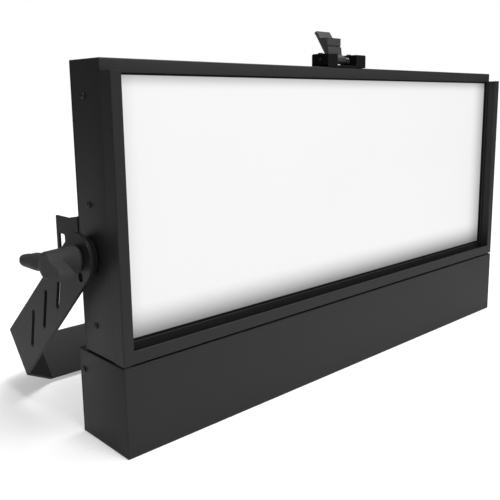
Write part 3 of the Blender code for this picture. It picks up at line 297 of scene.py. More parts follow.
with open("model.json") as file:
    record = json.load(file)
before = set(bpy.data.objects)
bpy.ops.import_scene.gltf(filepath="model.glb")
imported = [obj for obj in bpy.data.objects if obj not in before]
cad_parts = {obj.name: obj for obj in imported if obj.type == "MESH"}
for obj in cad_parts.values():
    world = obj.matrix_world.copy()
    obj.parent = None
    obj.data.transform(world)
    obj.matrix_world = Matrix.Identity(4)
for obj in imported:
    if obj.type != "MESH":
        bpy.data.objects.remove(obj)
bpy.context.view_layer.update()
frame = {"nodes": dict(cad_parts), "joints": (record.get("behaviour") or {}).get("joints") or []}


# Shader maths
class Value:
    """A socket of a shader tree, for Python's own operators: each one adds its Math node."""

    def __init__(self, nodes, socket):
        self.nodes = nodes
        self.socket = socket

    def maths(self, operation, *others):
        sockets = dict(enumerate((self, *others)))
        return self.nodes.node("ShaderNodeMath", {"operation": operation}, sockets)

    def __add__(self, other):
        return self.maths("ADD", other)

    def __sub__(self, other):
        return self.maths("SUBTRACT", other)

    def __rsub__(self, other):
        return self.maths("MULTIPLY_ADD", -1.0, other)

    def __mul__(self, other):
        return self.maths("MULTIPLY", other)

    def __abs__(self):
        return self.maths("ABSOLUTE")

    __radd__ = __add__
    __rmul__ = __mul__

    def most(self, other):
        return self.maths("MAXIMUM", other)

    def step(self, low, high, start=0.0, end=1.0):
        """start below low and end above high, with a soft change between them."""
        settings = {"interpolation_type": "SMOOTHSTEP"}
        sockets = {"Value": self, "From Min": low, "From Max": high, "To Min": start, "To Max": end}
        return self.nodes.node("ShaderNodeMapRange", settings, sockets)


class Nodes:
    """A shader tree, whose nodes all come from one method."""

    def __init__(self, tree):
        self.tree = tree

    def join(self, socket, value):
        if isinstance(value, Value):
            self.tree.links.new(value.socket, socket)
        else:
            socket.default_value = value

    def node(self, kind, settings, sockets, output=0):
        """Any node: its settings are set first, then the values or links of its sockets."""
        made = self.tree.nodes.new(kind)
        for name, value in settings.items():
            setattr(made, name, value)
        for name, value in sockets.items():
            self.join(made.inputs[name], value)
        return Value(self, made.outputs[output])

    def ray(self, kind):
        """1 for rays of a kind, and 0 for all others."""
        return self.node("ShaderNodeLightPath", {}, {}, f"Is {kind} Ray")

    def mix(self, share, first, second):
        """A shader between two others."""
        return self.node("ShaderNodeMixShader", {}, {0: share, 1: first, 2: second})

    def show(self, shader):
        """Ends the tree in this shader."""
        output = next(node for node in self.tree.nodes if "Surface" in node.inputs)
        self.join(output.inputs["Surface"], shader)


class Finish(Nodes):
    """A surface finish in the making. Its shader is a Principled BSDF."""

    def __init__(self, name, color, roughness, metallic=0.0, **uniform):
        self.material = bpy.data.materials.new(name)
        self.material.use_nodes = True
        super().__init__(self.material.node_tree)
        self.shader = self.tree.nodes["Principled BSDF"]
        self.give("Base Color", (*color, 1.0))
        self.give("Roughness", roughness)
        self.give("Metallic", metallic)
        for name_of_socket, value in uniform.items():
            self.give(name_of_socket.replace("_", " "), value)
        self.material.diffuse_color = (*color, 1.0)
        self.place = self.node("ShaderNodeTexCoord", {}, {}, "Object")

    def give(self, socket, value):
        self.join(self.shader.inputs[socket], value)

    def noise(self, scale, detail, place=None):
        sockets = {"Vector": place or self.place, "Scale": scale, "Detail": detail}
        return self.node("ShaderNodeTexNoise", {}, sockets)

    def grains(self, scale):
        return self.node("ShaderNodeTexVoronoi", {}, {"Vector": self.place, "Scale": scale})

    def stretched(self, scale):
        return self.node("ShaderNodeMapping", {}, {"Vector": self.place, "Scale": scale})

    def axis(self, name):
        return self.node("ShaderNodeSeparateXYZ", {}, {"Vector": self.place}, name)

    def blend(self, share, first, second):
        """A colour between two others."""
        first, second = (
            color if isinstance(color, Value) else (*color, 1.0) for color in (first, second)
        )
        sockets = {0: share, 6: first, 7: second}
        return self.node("ShaderNodeMix", {"data_type": "RGBA"}, sockets, 2)

    def rise(self, height, distance):
        """Gives the shader a bump of this many metres."""
        bump = self.node("ShaderNodeBump", {}, {"Height": height, "Distance": distance})
        self.give("Normal", bump)


def shade(color, factor):
    return tuple(part * factor for part in color)


# Finishes
def powder_coat():
    """Satin charcoal powder coat: a fine orange peel, faint clouds and dust in its colour."""
    color = (0.0165, 0.0165, 0.0175)
    made = Finish("satin_powder_coat", color, 0.5, Specular_IOR_Level=0.24)
    peel = made.noise(900.0, 2.0)
    grain = made.noise(3200.0, 1.0)
    clouds = made.noise(9.0, 3.0)
    dust = made.noise(260.0, 2.0).step(0.62, 0.80)
    tint = made.blend(clouds, shade(color, 0.88), shade(color, 1.14))
    made.give("Base Color", made.blend(dust * 0.16, tint, shade(color, 2.2)))
    made.give("Roughness", 0.40 + clouds * 0.10 + grain * 0.06)
    made.rise(peel * 0.75 + grain * 0.25, 0.05 * MM)
    return made.material


def moulded_plastic(name, color, roughness, gloss=0.12):
    """Spark-eroded moulded plastic: an even fine grain with slightly worn high spots."""
    made = Finish(name, color, roughness, Specular_IOR_Level=gloss)
    grain = made.grains(1500.0)
    clouds = made.noise(30.0, 3.0)
    tint = made.blend(clouds, shade(color, 0.88), shade(color, 1.15))
    made.give("Base Color", tint)
    made.give("Roughness", roughness - 0.06 + clouds * 0.12)
    made.rise(grain, 0.06 * MM)
    return made.material


def opal_acrylic():
    """Lit opal sheet: even in the middle, dimmer towards the window's edges and its bottom."""
    color = (0.20, 0.20, 0.20)
    made = Finish("opal_acrylic", color, 0.38, Specular_IOR_Level=0.3)
    up = made.axis("Z")
    sides = (WINDOW_HALF_WIDTH - abs(made.axis("X"))).step(-20.0 * MM, 32.0 * MM)
    bottom = (up - WINDOW_LOW).step(-8.0 * MM, 30.0 * MM)
    top = (WINDOW_HIGH - up).step(-10.0 * MM, 12.0 * MM)
    clouds = made.noise(7.0, 2.0)
    glow = (0.30 + 0.70 * sides) * (0.10 + 0.90 * bottom) * (0.24 + 0.76 * top)
    glow = glow * (0.97 + clouds * 0.06)
    made.give("Emission Color", made.blend(glow, (0.0, 0.0, 0.0), (1.0, 1.0, 1.0)))
    made.give("Emission Strength", 0.70)
    made.rise(made.noise(700.0, 2.0), 0.01 * MM)
    return made.material


def white_enamel():
    color = (0.80, 0.80, 0.79)
    made = Finish("white_enamel", color, 0.5)
    clouds = made.noise(25.0, 3.0)
    made.give("Base Color", made.blend(clouds, shade(color, 0.94), shade(color, 1.03)))
    made.rise(made.noise(1100.0, 2.0), 0.02 * MM)
    return made.material


def zinc_plate():
    """Zinc plated steel: bright, with a faint blue and yellow cast in patches."""
    made = Finish("zinc_plate", (0.56, 0.56, 0.57), 0.34, 1.0)
    clouds = made.noise(180.0, 3.0)
    scratches = made.noise(1.0, 2.0, place=made.stretched((9000.0, 500.0, 900.0)))
    tint = made.blend(clouds, (0.50, 0.52, 0.56), (0.60, 0.58, 0.52))
    made.give("Base Color", tint)
    made.give("Roughness", 0.26 + clouds * 0.14 + scratches * 0.08)
    made.rise(scratches, 0.01 * MM)
    return made.material


def plated(name, color, roughness):
    """Thin plating on small contacts."""
    made = Finish(name, color, roughness, 1.0)
    clouds = made.noise(400.0, 2.0)
    made.give("Base Color", made.blend(clouds, shade(color, 0.85), shade(color, 1.1)))
    made.give("Roughness", roughness - 0.06 + clouds * 0.12)
    return made.material


def black_screws():
    """Black oxide on steel, as on the casing's screws."""
    color = (0.018, 0.018, 0.019)
    made = Finish("black_oxide", color, 0.3, Specular_IOR_Level=0.3)
    wear = made.noise(900.0, 3.0).step(0.5, 0.8)
    made.give("Base Color", made.blend(wear, color, (0.07, 0.07, 0.075)))
    made.give("Roughness", 0.34 - wear * 0.10)
    made.rise(made.noise(2500.0, 1.0), 0.01 * MM)
    return made.material


def aluminium():
    """Extruded or rolled aluminium with its long fine lines."""
    made = Finish("mill_aluminium", (0.68, 0.68, 0.69), 0.38, 1.0)
    lines = made.noise(1.0, 3.0, place=made.stretched((1400.0, 1400.0, 12.0)))
    clouds = made.noise(20.0, 3.0)
    made.give("Base Color", made.blend(clouds, (0.60, 0.60, 0.61), (0.72, 0.72, 0.73)))
    made.give("Roughness", 0.30 + lines * 0.16)
    made.rise(lines, 0.015 * MM)
    return made.material


def led_board():
    """White solder mask, with the yellow of the LED packages that stand out of its front."""
    made = Finish("white_solder_mask", (0.80, 0.80, 0.78), 0.42)
    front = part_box("led_board_left")[0].y
    package = (made.axis("Y") - front).step(0.72 * MM, 0.60 * MM)
    traces = made.noise(1.0, 1.0, place=made.stretched((90.0, 1.0, 500.0))).step(0.52, 0.56)
    mask = made.blend(traces, (0.80, 0.80, 0.78), (0.74, 0.75, 0.73))
    made.give("Base Color", made.blend(package, mask, (0.86, 0.66, 0.14)))
    made.rise(traces, 0.04 * MM)
    return made.material


def green_board():
    """Green solder mask over copper tracks."""
    made = Finish("green_solder_mask", (0.02, 0.14, 0.05), 0.35)
    tracks = made.noise(1.0, 1.0, place=made.stretched((600.0, 1.0, 140.0))).step(0.50, 0.54)
    made.give("Base Color", made.blend(tracks, (0.015, 0.12, 0.04), (0.03, 0.20, 0.07)))
    made.rise(tracks, 0.035 * MM)
    return made.material


def rubber(name, color):
    made = Finish(name, color, 0.75, Specular_IOR_Level=0.2)
    bloom = made.noise(60.0, 4.0)
    made.give("Base Color", made.blend(bloom, shade(color, 0.8), shade(color, 1.5)))
    made.give("Roughness", 0.66 + bloom * 0.2)
    made.rise(made.noise(1800.0, 2.0), 0.04 * MM)
    return made.material


def display_glass():
    """Smoked clear sheet with a dark display close behind it."""
    made = Finish("smoked_display", (0.008, 0.010, 0.013), 0.08, Coat_Weight=0.5)
    smears = made.noise(35.0, 4.0)
    made.give("Roughness", 0.05 + smears * 0.10)
    made.give("Base Color", made.blend(smears, (0.006, 0.008, 0.010), (0.012, 0.014, 0.018)))
    return made.material


def cable_jacket():
    color = (0.04, 0.04, 0.042)
    made = Finish("cable_jacket", color, 0.5)
    made.give("Base Color", made.blend(made.noise(80.0, 3.0), shade(color, 0.8), shade(color, 1.3)))
    made.rise(made.noise(1.0, 2.0, place=made.stretched((2600.0, 2600.0, 90.0))), 0.05 * MM)
    return made.material


# Sizes read from the frame
HEAD_LOW, HEAD_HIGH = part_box("upper_housing")
BASE_LOW, BASE_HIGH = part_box("base_box")
COVER_LOW, COVER_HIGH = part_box("rear_cover")
RING_LOW, RING_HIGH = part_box("front_bezel")
WINDOW_HALF_WIDTH = RING_HIGH.x - RING_SIDE_WIDTH
WINDOW_LOW = RING_LOW.z + RING_WIDTH
WINDOW_HIGH = RING_HIGH.z - RING_WIDTH
PIVOT = Vector(next(joint["pos_m"] for joint in frame["joints"] if joint["name"] == "yoke_tilt"))
YOKE_PLACE = Matrix.Translation(PIVOT) @ Matrix.Rotation(math.radians(-YOKE_TILT), 4, "X")
ARM_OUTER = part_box("yoke")[1].x

POWDER_COAT = powder_coat()
KNOB_PLASTIC = moulded_plastic("knob_plastic", (0.048, 0.048, 0.049), 0.46, 0.05)
LATCH_PLASTIC = moulded_plastic("latch_plastic", (0.050, 0.050, 0.051), 0.45)
LATCH_BASE_PLASTIC = moulded_plastic("latch_base_plastic", (0.003, 0.003, 0.0032), 0.55)
CONNECTOR_PLASTIC = moulded_plastic("connector_plastic", (0.014, 0.014, 0.015), 0.38)
INLET_PLASTIC = moulded_plastic("inlet_plastic", (0.012, 0.045, 0.16), 0.38)
OUTLET_PLASTIC = moulded_plastic("outlet_plastic", (0.20, 0.21, 0.22), 0.40)
SPRING_STEEL = plated("spring_steel", (0.15, 0.15, 0.155), 0.40)
BRASS = plated("gilt_contacts", (0.62, 0.46, 0.20), 0.28)
BUTTON_RUBBER = rubber("button_rubber", (0.030, 0.030, 0.031))
# Partly painted shade: the ring's black strip stands for the dark gap round the diffuser.
RING_BLACK_AND_SHADE = rubber("ring_black_and_painted_shade", (0.003, 0.003, 0.0032))
ICON_PAINT = rubber("icon_paint", (0.55, 0.55, 0.55))
OPAL = opal_acrylic()
ENAMEL = white_enamel()
ZINC = zinc_plate()
BLACK_OXIDE = black_screws()
ALUMINIUM = aluminium()
LED_BOARD = led_board()
GREEN_BOARD = green_board()
# Black rubber made darker still: the friction discs' rims are partly painted shade, for the shadow
# between arm and casing.
DISC_RUBBER_AND_SHADE = rubber("disc_rubber_and_painted_shade", (0.007, 0.007, 0.0075))
DISPLAY = display_glass()
JACKET = cable_jacket()

NODE_FINISHES = {
    "light_box": ENAMEL,
    "heat_sink": ALUMINIUM,
    "power_supply": ALUMINIUM,
    "led_board_left": LED_BOARD,
    "led_board_right": LED_BOARD,
    "control_board": GREEN_BOARD,
    "led_harness": JACKET,
}


# Shapes
def mesh_of(shape, name):
    """The shape as a mesh. The shape itself is freed."""
    mesh = bpy.data.meshes.new(name)
    shape.to_mesh(mesh)
    shape.free()
    return mesh


def shape_of(mesh):
    """The mesh as a shape. The mesh itself is removed."""
    shape = bmesh.new()
    shape.from_mesh(mesh)
    bpy.data.meshes.remove(mesh)
    return shape


def linked(name, data):
    """A new object in the scene."""
    made = bpy.data.objects.new(name, data)
    bpy.context.scene.collection.objects.link(made)
    return made


def slab(low, high):
    """A box between two corners."""
    low, high = Vector(low), Vector(high)
    shape = bmesh.new()
    bmesh.ops.create_cube(shape, size=1.0)
    bmesh.ops.scale(shape, vec=high - low, verts=shape.verts)
    bmesh.ops.translate(shape, vec=(low + high) / 2, verts=shape.verts)
    return shape


def creases(shape):
    """The edges where two faces meet at more than the crease angle."""
    least = math.radians(CREASE)
    edges = (edge for edge in shape.edges if len(edge.link_faces) == 2)
    return [edge for edge in edges if edge.calc_face_angle() > least]


def soften(shape, radius, segments=2, edges=None):
    """Rounds the given edges, or every crease."""
    bmesh.ops.bevel(
        shape,
        geom=creases(shape) if edges is None else edges,
        offset=radius,
        offset_type="OFFSET",
        segments=segments,
        profile=0.5,
        affect="EDGES",
        clamp_overlap=True,
        material=-1,
    )
    return shape


def filleted(points, radii, steps=5):
    """A closed flat outline whose corners are arcs, of one radius or of one for each point."""
    count = len(points)
    radii = [radii] * count if isinstance(radii, (int, float)) else radii
    outline = []
    for number, radius in enumerate(radii):
        before = Vector(points[number - 1])
        corner = Vector(points[number])
        after = Vector(points[(number + 1) % count])
        if radius == 0:
            outline.append(corner)
            continue
        to_before = (before - corner).normalized()
        to_after = (after - corner).normalized()
        half = to_before.angle(to_after) / 2
        reach = radius / math.tan(half)
        centre = corner + (to_before + to_after).normalized() * (radius / math.sin(half))
        start = corner + to_before * reach - centre
        end = corner + to_after * reach - centre
        turn = end.angle_signed(start)
        for step in range(steps + 1):
            outline.append(centre + Matrix.Rotation(turn * step / steps, 2) @ start)
    return outline


def spoke(angle):
    """A unit vector at an angle in degrees."""
    turn = math.radians(angle)
    return Vector((math.cos(turn), math.sin(turn)))


def arc(centre, radius, start, end, steps):
    """Points on an arc between two angles, in degrees."""
    angles = [start + (end - start) * step / steps for step in range(steps + 1)]
    return [Vector(centre) + radius * spoke(angle) for angle in angles]


def rectangle(left, bottom, right, top):
    """The corners of a rectangle, from its lower left."""
    return [(left, bottom), (right, bottom), (right, top), (left, top)]


def face_outline(low, high, inset=0.0):
    """The upright rectangle that a box shows from the front, or one inside it."""
    return rectangle(low.x + inset, low.z + inset, high.x - inset, high.z - inset)


def round_hole(centre, radius, steps=32):
    return arc(centre, radius, 0, 360, steps)[:-1]


def slot_hole(centre, size, angle, steps=8):
    """A slot with round ends, whose long side runs along an angle."""
    length, width = size
    radius = width / 2
    along = spoke(angle) * (length / 2 - radius)
    first = arc(Vector(centre) + along, radius, angle - 90, angle + 90, steps)
    second = arc(Vector(centre) - along, radius, angle + 90, angle + 270, steps)
    return first + second


def add_line(curve, points, closed):
    line = curve.splines.new("POLY")
    line.points.add(len(points) - 1)
    for point, place in zip(line.points, points):
        point.co = (*place, 1.0)
    line.use_cyclic_u = closed


def shape_of_curve(curve):
    drawn = linked(curve.name, curve)
    graph = bpy.context.evaluated_depsgraph_get()
    mesh = bpy.data.meshes.new_from_object(drawn.evaluated_get(graph))
    bpy.data.objects.remove(drawn, do_unlink=True)
    return shape_of(mesh)


def stamped(outlines, thickness, edge, matrix):
    """Sheet in an outline, with any holes after it, rounded at every edge.

    It lies flat with its middle at 0, and the matrix then puts it in its place.
    """
    curve = bpy.data.curves.new("stamping", "CURVE")
    curve.dimensions = "2D"
    curve.fill_mode = "BOTH"
    curve.extrude = thickness / 2 - edge
    curve.bevel_depth = edge
    curve.bevel_resolution = 1
    curve.offset = -edge
    for outline in outlines:
        add_line(curve, [(x, y, 0.0) for x, y in outline], True)
    shape = shape_of_curve(curve)
    bmesh.ops.remove_doubles(shape, verts=shape.verts, dist=CURVE_MERGE)
    bmesh.ops.transform(shape, matrix=matrix, verts=shape.verts)
    return shape


def upright(outlines, front, back, edge):
    """Sheet that stands between two depths, in outlines of (across, up)."""
    matrix = Matrix.Translation((0, (front + back) / 2, 0)) @ UPRIGHT
    return stamped(outlines, back - front, edge, matrix)


def crosswise(outlines, left, right, edge):
    """Sheet that stands between two places across, in outlines of (depth, up)."""
    matrix = Matrix.Translation(((left + right) / 2, 0, 0)) @ ACROSS
    return stamped(outlines, right - left, edge, matrix)


def wire(points, radius):
    """Round wire along points, with closed ends."""
    curve = bpy.data.curves.new("wire", "CURVE")
    curve.dimensions = "3D"
    curve.bevel_depth = radius
    curve.bevel_resolution = 3
    curve.use_fill_caps = True
    add_line(curve, points, False)
    return shape_of_curve(curve)


def standing(place, toward):
    """Stands a shape that was made on +Z on a place, pointing along toward."""
    return Matrix.Translation(place) @ Vector(toward).to_track_quat("Z", "Y").to_matrix().to_4x4()


def turned(profile, place, toward, steps):
    """A profile of (radius, height), turned about the line from place along toward."""
    shape = bmesh.new()
    points = [shape.verts.new((radius, 0.0, height)) for radius, height in profile]
    edges = [shape.edges.new(pair) for pair in zip(points, points[1:])]
    if profile[0] == profile[-1]:
        bmesh.ops.remove_doubles(shape, verts=shape.verts, dist=CLOSE)
        edges = list(shape.edges)
    bmesh.ops.spin(
        shape,
        geom=list(shape.verts) + edges,
        cent=(0, 0, 0),
        axis=(0, 0, 1),
        dvec=(0, 0, 0),
        angle=2 * math.pi,
        steps=steps,
        use_merge=True,
        use_duplicate=False,
    )
    bmesh.ops.remove_doubles(shape, verts=shape.verts, dist=MERGE)
    bmesh.ops.transform(shape, matrix=standing(place, toward), verts=shape.verts)
    return shape


def joined(*shapes):
    """One shape of several, each of which stays closed by itself."""
    whole = bmesh.new()
    for shape in shapes:
        mesh = mesh_of(shape, "part_of_shape")
        whole.from_mesh(mesh)
        bpy.data.meshes.remove(mesh)
    return whole


def piece(name, shape, finish, body, slot, replaces=(), crease=CREASE, outward=True):
    """A finished piece of the object: shaded smooth up to its creases, and riding on its body."""
    if outward:
        bmesh.ops.recalc_face_normals(shape, faces=shape.faces)
    mesh = mesh_of(shape, name)
    mesh.materials.append(finish)
    mesh.shade_smooth()
    mesh.set_sharp_from_angle(angle=math.radians(crease))
    made = linked(name, mesh)
    even = made.modifiers.new("even_shading", "WEIGHTED_NORMAL")
    even.weight = 100
    even.keep_sharp = True
    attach(made, body)
    if replaces:
        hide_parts(*replaces)
    return made


def minus(obj, shape):
    """Cuts a closed shape out of an object."""
    bmesh.ops.recalc_face_normals(shape, faces=shape.faces)
    cutter = linked("cutter", mesh_of(shape, "cutter"))
    cutting = obj.modifiers.new("cut", "BOOLEAN")
    cutting.operation = "DIFFERENCE"
    cutting.solver = "EXACT"
    cutting.object = cutter
    graph = bpy.context.evaluated_depsgraph_get()
    graph.update()
    whole = obj.data
    obj.data = bpy.data.meshes.new_from_object(obj.evaluated_get(graph))
    obj.modifiers.remove(cutting)
    bpy.data.meshes.remove(whole)
    bpy.data.objects.remove(cutter, do_unlink=True)


def middle_of(name):
    low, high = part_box(name)
    return (low + high) / 2


def ends(name, sign):
    """Where a node of one side has its inner and its outer end, across."""
    low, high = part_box(name)
    return (high.x, low.x) if sign < 0 else (low.x, high.x)


def pan_head():
    """The mesh of a pan-head screw with a cross recess, standing on 0 and pointing up."""
    radius, height = SCREW_HEAD_RADIUS, SCREW_HEAD_HEIGHT
    shank, foot = SCREW_SHANK_RADIUS, -SCREW_SHANK_LENGTH
    profile = [(radius * out, height * up) for out, up in SCREW_OUTLINE]
    profile += [(shank, 0.0), (shank, foot), (0.0, foot)]
    shape = turned(profile, (0, 0, 0), (0, 0, 1), 24)
    bmesh.ops.recalc_face_normals(shape, faces=shape.faces)
    blank = linked("pan_head", mesh_of(shape, "pan_head"))
    floor = height - RECESS_DEPTH
    for across, along in ((RECESS_REACH, RECESS_HALF), (RECESS_HALF, RECESS_REACH)):
        minus(blank, slab((-across, -along, floor), (across, along, height * 2)))
    mesh = blank.data
    bpy.data.objects.remove(blank, do_unlink=True)
    return mesh


def screw_pieces():
    """Each screw of the frame gets a pan head, whose cross recess is turned by its place."""
    head = pan_head()
    for name in sorted(frame["nodes"]):
        found = [way for start, way in SCREW_DIRECTIONS.items() if name.startswith(start)]
        if not found:
            continue
        toward = Vector(found[0])
        low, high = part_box(name)
        top = (low + high) / 2 + toward * abs(toward.dot(high - low)) / 2
        seat = top - toward * SCREW_HEAD_HEIGHT
        shape = bmesh.new()
        shape.from_mesh(head)
        twist = Matrix.Rotation(SCREW_TWIST * (seat.x + seat.y + 3 * seat.z), 4, "Z")
        matrix = standing(seat, toward) @ twist
        bmesh.ops.transform(shape, matrix=matrix, verts=shape.verts)
        piece(name + "_cross_head", shape, BLACK_OXIDE, "head", "zinc_steel", [name])


# Casing
def shell_with_open_back(low, high, window=None):
    """Folded sheet, open at its back, with rounded folds and maybe a window in its front.

    Where it has a window, its front's upright corners stay sharp, for the rails to run on from.
    """
    shape = slab(low, high)
    back = [face for face in shape.faces if face.normal.y > 0.5]
    bmesh.ops.delete(shape, geom=back, context="FACES_ONLY")
    if window:
        cut_window(shape, *window)
    folds = creases(shape)
    if window:
        folds = [fold for fold in folds if not is_front_upright(fold, low.y)]
    soften(shape, SHELL_EDGE, 3, folds)
    return shape


def front_faces(shape):
    return [face for face in shape.faces if face.normal.y < -0.5]


def cut_window(shape, half, bottom, top):
    """Cuts a shell's front along the window's four sides, and takes the middle out."""
    cuts = (
        ((half, 0, 0), (1, 0, 0)),
        ((-half, 0, 0), (1, 0, 0)),
        ((0, 0, bottom), (0, 0, 1)),
        ((0, 0, top), (0, 0, 1)),
    )
    for place, across in cuts:
        geom = set()
        for face in front_faces(shape):
            geom.update([face], face.edges, face.verts)
        bmesh.ops.bisect_plane(
            shape, geom=list(geom), plane_co=place, plane_no=across, dist=CLOSE
        )
    middle = []
    for face in front_faces(shape):
        place = face.calc_center_median()
        if abs(place.x) < half and bottom < place.z < top:
            middle.append(face)
    bmesh.ops.delete(shape, geom=middle, context="FACES")


def is_front_upright(edge, front):
    first, second = (vert.co for vert in edge.verts)
    upright = abs((second - first).normalized().z) > 0.9
    return upright and abs(first.y - front) < MM


def walls(obj):
    """Gives an open skin its wall, inwards, and rounds the wall's rims."""
    skin = obj.modifiers.new("wall", "SOLIDIFY")
    skin.thickness = SHEET
    skin.offset = -1
    skin.use_even_offset = True
    rim = obj.modifiers.new("rims", "BEVEL")
    rim.width = FINE_EDGE
    rim.segments = 2
    rim.limit_method = "ANGLE"
    rim.angle_limit = math.radians(60)


def make_head_shell():
    window = (WINDOW_HALF_WIDTH + RING_SHOW, WINDOW_LOW - RING_SHOW, WINDOW_HIGH + RING_SHOW)
    shape = shell_with_open_back(HEAD_LOW + Vector((0, 0, SEAM)), HEAD_HIGH, window)
    node = ["upper_housing"]
    walls(piece("head_shell", shape, POWDER_COAT, "head", "powder_coat", node, outward=False))


def make_base_shell():
    shape = shell_with_open_back(BASE_LOW, BASE_HIGH)
    node = ["base_box"]
    walls(piece("base_shell", shape, POWDER_COAT, "head", "powder_coat", node, outward=False))


def make_window_ring():
    """The black ring behind the casing's opening, which presses on the diffuser's edge. Its black is
    partly painted shade, for the dark gap round the diffuser.
    """
    outer = face_outline(RING_LOW, RING_HIGH)
    inner = rectangle(-WINDOW_HALF_WIDTH, WINDOW_LOW, WINDOW_HALF_WIDTH, WINDOW_HIGH)
    shape = upright([outer, inner], RING_LOW.y, RING_HIGH.y, TRIM_EDGE)
    piece("window_ring", shape, RING_BLACK_AND_SHADE, "head", "powder_coat", ["front_bezel"])


def make_diffuser():
    shape = soften(slab(*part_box("diffuser_panel")), TRIM_EDGE)
    piece("opal_sheet", shape, OPAL, "head", "opal_acrylic", ["diffuser_panel"])


def make_rear_cover():
    """The rear sheet with its two rows of upright vents and its rounded corners."""
    outlines = [filleted(face_outline(COVER_LOW, COVER_HIGH), COVER_CORNER)]
    for height in (COVER_LOW.z + VENT_INSET, COVER_HIGH.z - VENT_INSET):
        for number in range(VENT_COUNT):
            x = (number - (VENT_COUNT - 1) / 2) * VENT_PITCH
            outlines.append(slot_hole((x, height), VENT, 90.0, 6))
    shape = upright(outlines, COVER_LOW.y, COVER_HIGH.y, FINE_EDGE)
    piece("vented_cover", shape, POWDER_COAT, "head", "powder_coat", ["rear_cover"])


# Accessory channel
def make_side_rails():
    """The casing's sides run on to the front and are folded in, as lips of the channel."""
    for side, sign in SIDES.items():
        name = "rail_" + side
        low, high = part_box(name)
        inner, outer = ends(name, sign)
        front, back = low.y, HEAD_LOW.y - CLOSE_SEAM
        wall = outer - sign * RAIL_SHEET
        corners = [
            (outer, front),
            (outer, back),
            (wall, back),
            (wall, front + RAIL_SHEET),
            (inner, front + RAIL_SHEET),
            (inner, front),
        ]
        outline = filleted(corners, [RAIL_FOLD, 0, 0, TRIM_EDGE, 0, 0], 4)
        bottom = low.z + SEAM
        matrix = Matrix.Translation((0, 0, (bottom + high.z) / 2))
        shape = stamped([outline], high.z - bottom, RAIL_EDGE, matrix)
        piece(side + "_channel_rail", shape, POWDER_COAT, "head", "powder_coat", [name])


def make_bottom_rail():
    """The channel's floor and its upright lip, folded from one sheet."""
    low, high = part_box("rail_bottom")
    bottom, back = low.z + SEAM, HEAD_LOW.y - CLOSE_SEAM
    corners = [
        (low.y, high.z),
        (low.y, bottom),
        (back, bottom),
        (back, bottom + RAIL_SHEET),
        (low.y + RAIL_SHEET, bottom + RAIL_SHEET),
        (low.y + RAIL_SHEET, high.z),
    ]
    outline = filleted(corners, [TRIM_EDGE, RAIL_FOLD, 0, 0, TRIM_EDGE, TRIM_EDGE], 4)
    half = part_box("rail_right")[0].x - CLOSE_SEAM
    shape = crosswise([outline], -half, half, 0)
    piece("channel_floor", shape, POWDER_COAT, "head", "powder_coat", ["rail_bottom"])


# Yoke
def folded(shape, start, angle, radius):
    """Bends flat sheet, whose length is Y and whose face is X, round a fold that starts at a Y."""
    turn = math.radians(angle)
    length = abs(turn) * radius
    sign = math.copysign(1.0, turn)
    for vert in shape.verts:
        along = vert.co.y - start
        if along <= 0:
            continue
        part = min(along, length)
        swept = part / radius * sign
        out = sign * radius
        offset = vert.co.x
        spoke = out + offset
        vert.co.x = -out + spoke * math.cos(swept)
        vert.co.y = start + spoke * math.sin(swept)
        beyond = along - part
        vert.co.x -= beyond * math.sin(swept)
        vert.co.y += beyond * math.cos(swept)


def yoke_sizes():
    """Lengths along the flat bar's middle line: each arm, bend, corner piece and the crossbar."""
    middle = YOKE_THICKNESS / 2
    bend = YOKE_BEND_RADIUS + middle
    half_turn = math.tan(math.radians(YOKE_CORNER_TURN / 2))
    set_back = bend * half_turn
    corner = YOKE_CORNER - middle + middle * half_turn
    arm = YOKE_ARM - middle * half_turn - set_back
    slope = corner * math.sqrt(2) - 2 * set_back
    across = 2 * (ARM_OUTER - middle - corner - set_back)
    return arm, bend, slope, across


def flat_yoke(arm, fold, slope, across):
    """The flat bar's outline and holes, as (along, across) from one pivot to the other."""
    total = 2 * (arm + slope + 2 * fold) + across
    half = YOKE_WIDTH / 2
    widest = arm + fold / 2
    far = math.hypot(widest, half)
    lean = math.degrees(math.atan2(half, widest) + math.acos(YOKE_HEAD_RADIUS / far))
    near = arc((0, 0), YOKE_HEAD_RADIUS, lean, 360 - lean, 32)
    outline = near + [Vector((widest, -half)), Vector((total - widest, -half))]
    outline += arc((total, 0), YOKE_HEAD_RADIUS, lean - 180, 180 - lean, 32)
    outline += [Vector((total - widest, half)), Vector((widest, half))]
    outlines = [outline]
    stop = STOP_SLOT_RADIUS * spoke(STOP_SLOT_ANGLE)
    for start, way in ((0.0, 1), (total, -1)):
        outlines.append(round_hole((start, 0), STUD_HOLE))
        place = (start + way * stop.x, stop.y)
        outlines.append(slot_hole(place, STOP_SLOT, way * STOP_SLOT_ANGLE))
        for number in range(YOKE_SLOT_COUNT):
            place = (start + way * (YOKE_SLOT_FIRST + number * YOKE_SLOT_PITCH), 0)
            outlines.append(slot_hole(place, YOKE_SLOT, way * -YOKE_SLOT_TURN))
    for offset, hole in CLAMP_HOLES:
        outlines.append(round_hole((total / 2 + offset, 0), hole))
    return outlines


def make_yoke():
    """One flat bar: its outline and holes are stamped first, then it is bent four times."""
    arm, bend, slope, across = yoke_sizes()
    fold = bend * math.radians(YOKE_CORNER_TURN)
    shape = stamped(flat_yoke(arm, fold, slope, across), YOKE_THICKNESS, FINE_EDGE, ACROSS)
    starts = [arm]
    for length in (slope, across, slope):
        starts.append(starts[-1] + fold + length)
    for start in starts:
        for step in range(YOKE_BEND_STEPS + 1):
            geom = list(shape.verts) + list(shape.edges) + list(shape.faces)
            place = (0, start + fold * step / YOKE_BEND_STEPS, 0)
            bmesh.ops.bisect_plane(
                shape, geom=geom, plane_co=place, plane_no=(0, 1, 0), dist=MERGE
            )
    for start in reversed(starts):
        folded(shape, start, -YOKE_CORNER_TURN, bend)
    matrix = YOKE_PLACE @ Matrix.Translation((YOKE_THICKNESS / 2 - ARM_OUTER, 0, 0))
    bmesh.ops.transform(shape, matrix=matrix, verts=shape.verts)
    piece("yoke_bar", shape, POWDER_COAT, "yoke", "powder_coat", ["yoke"])


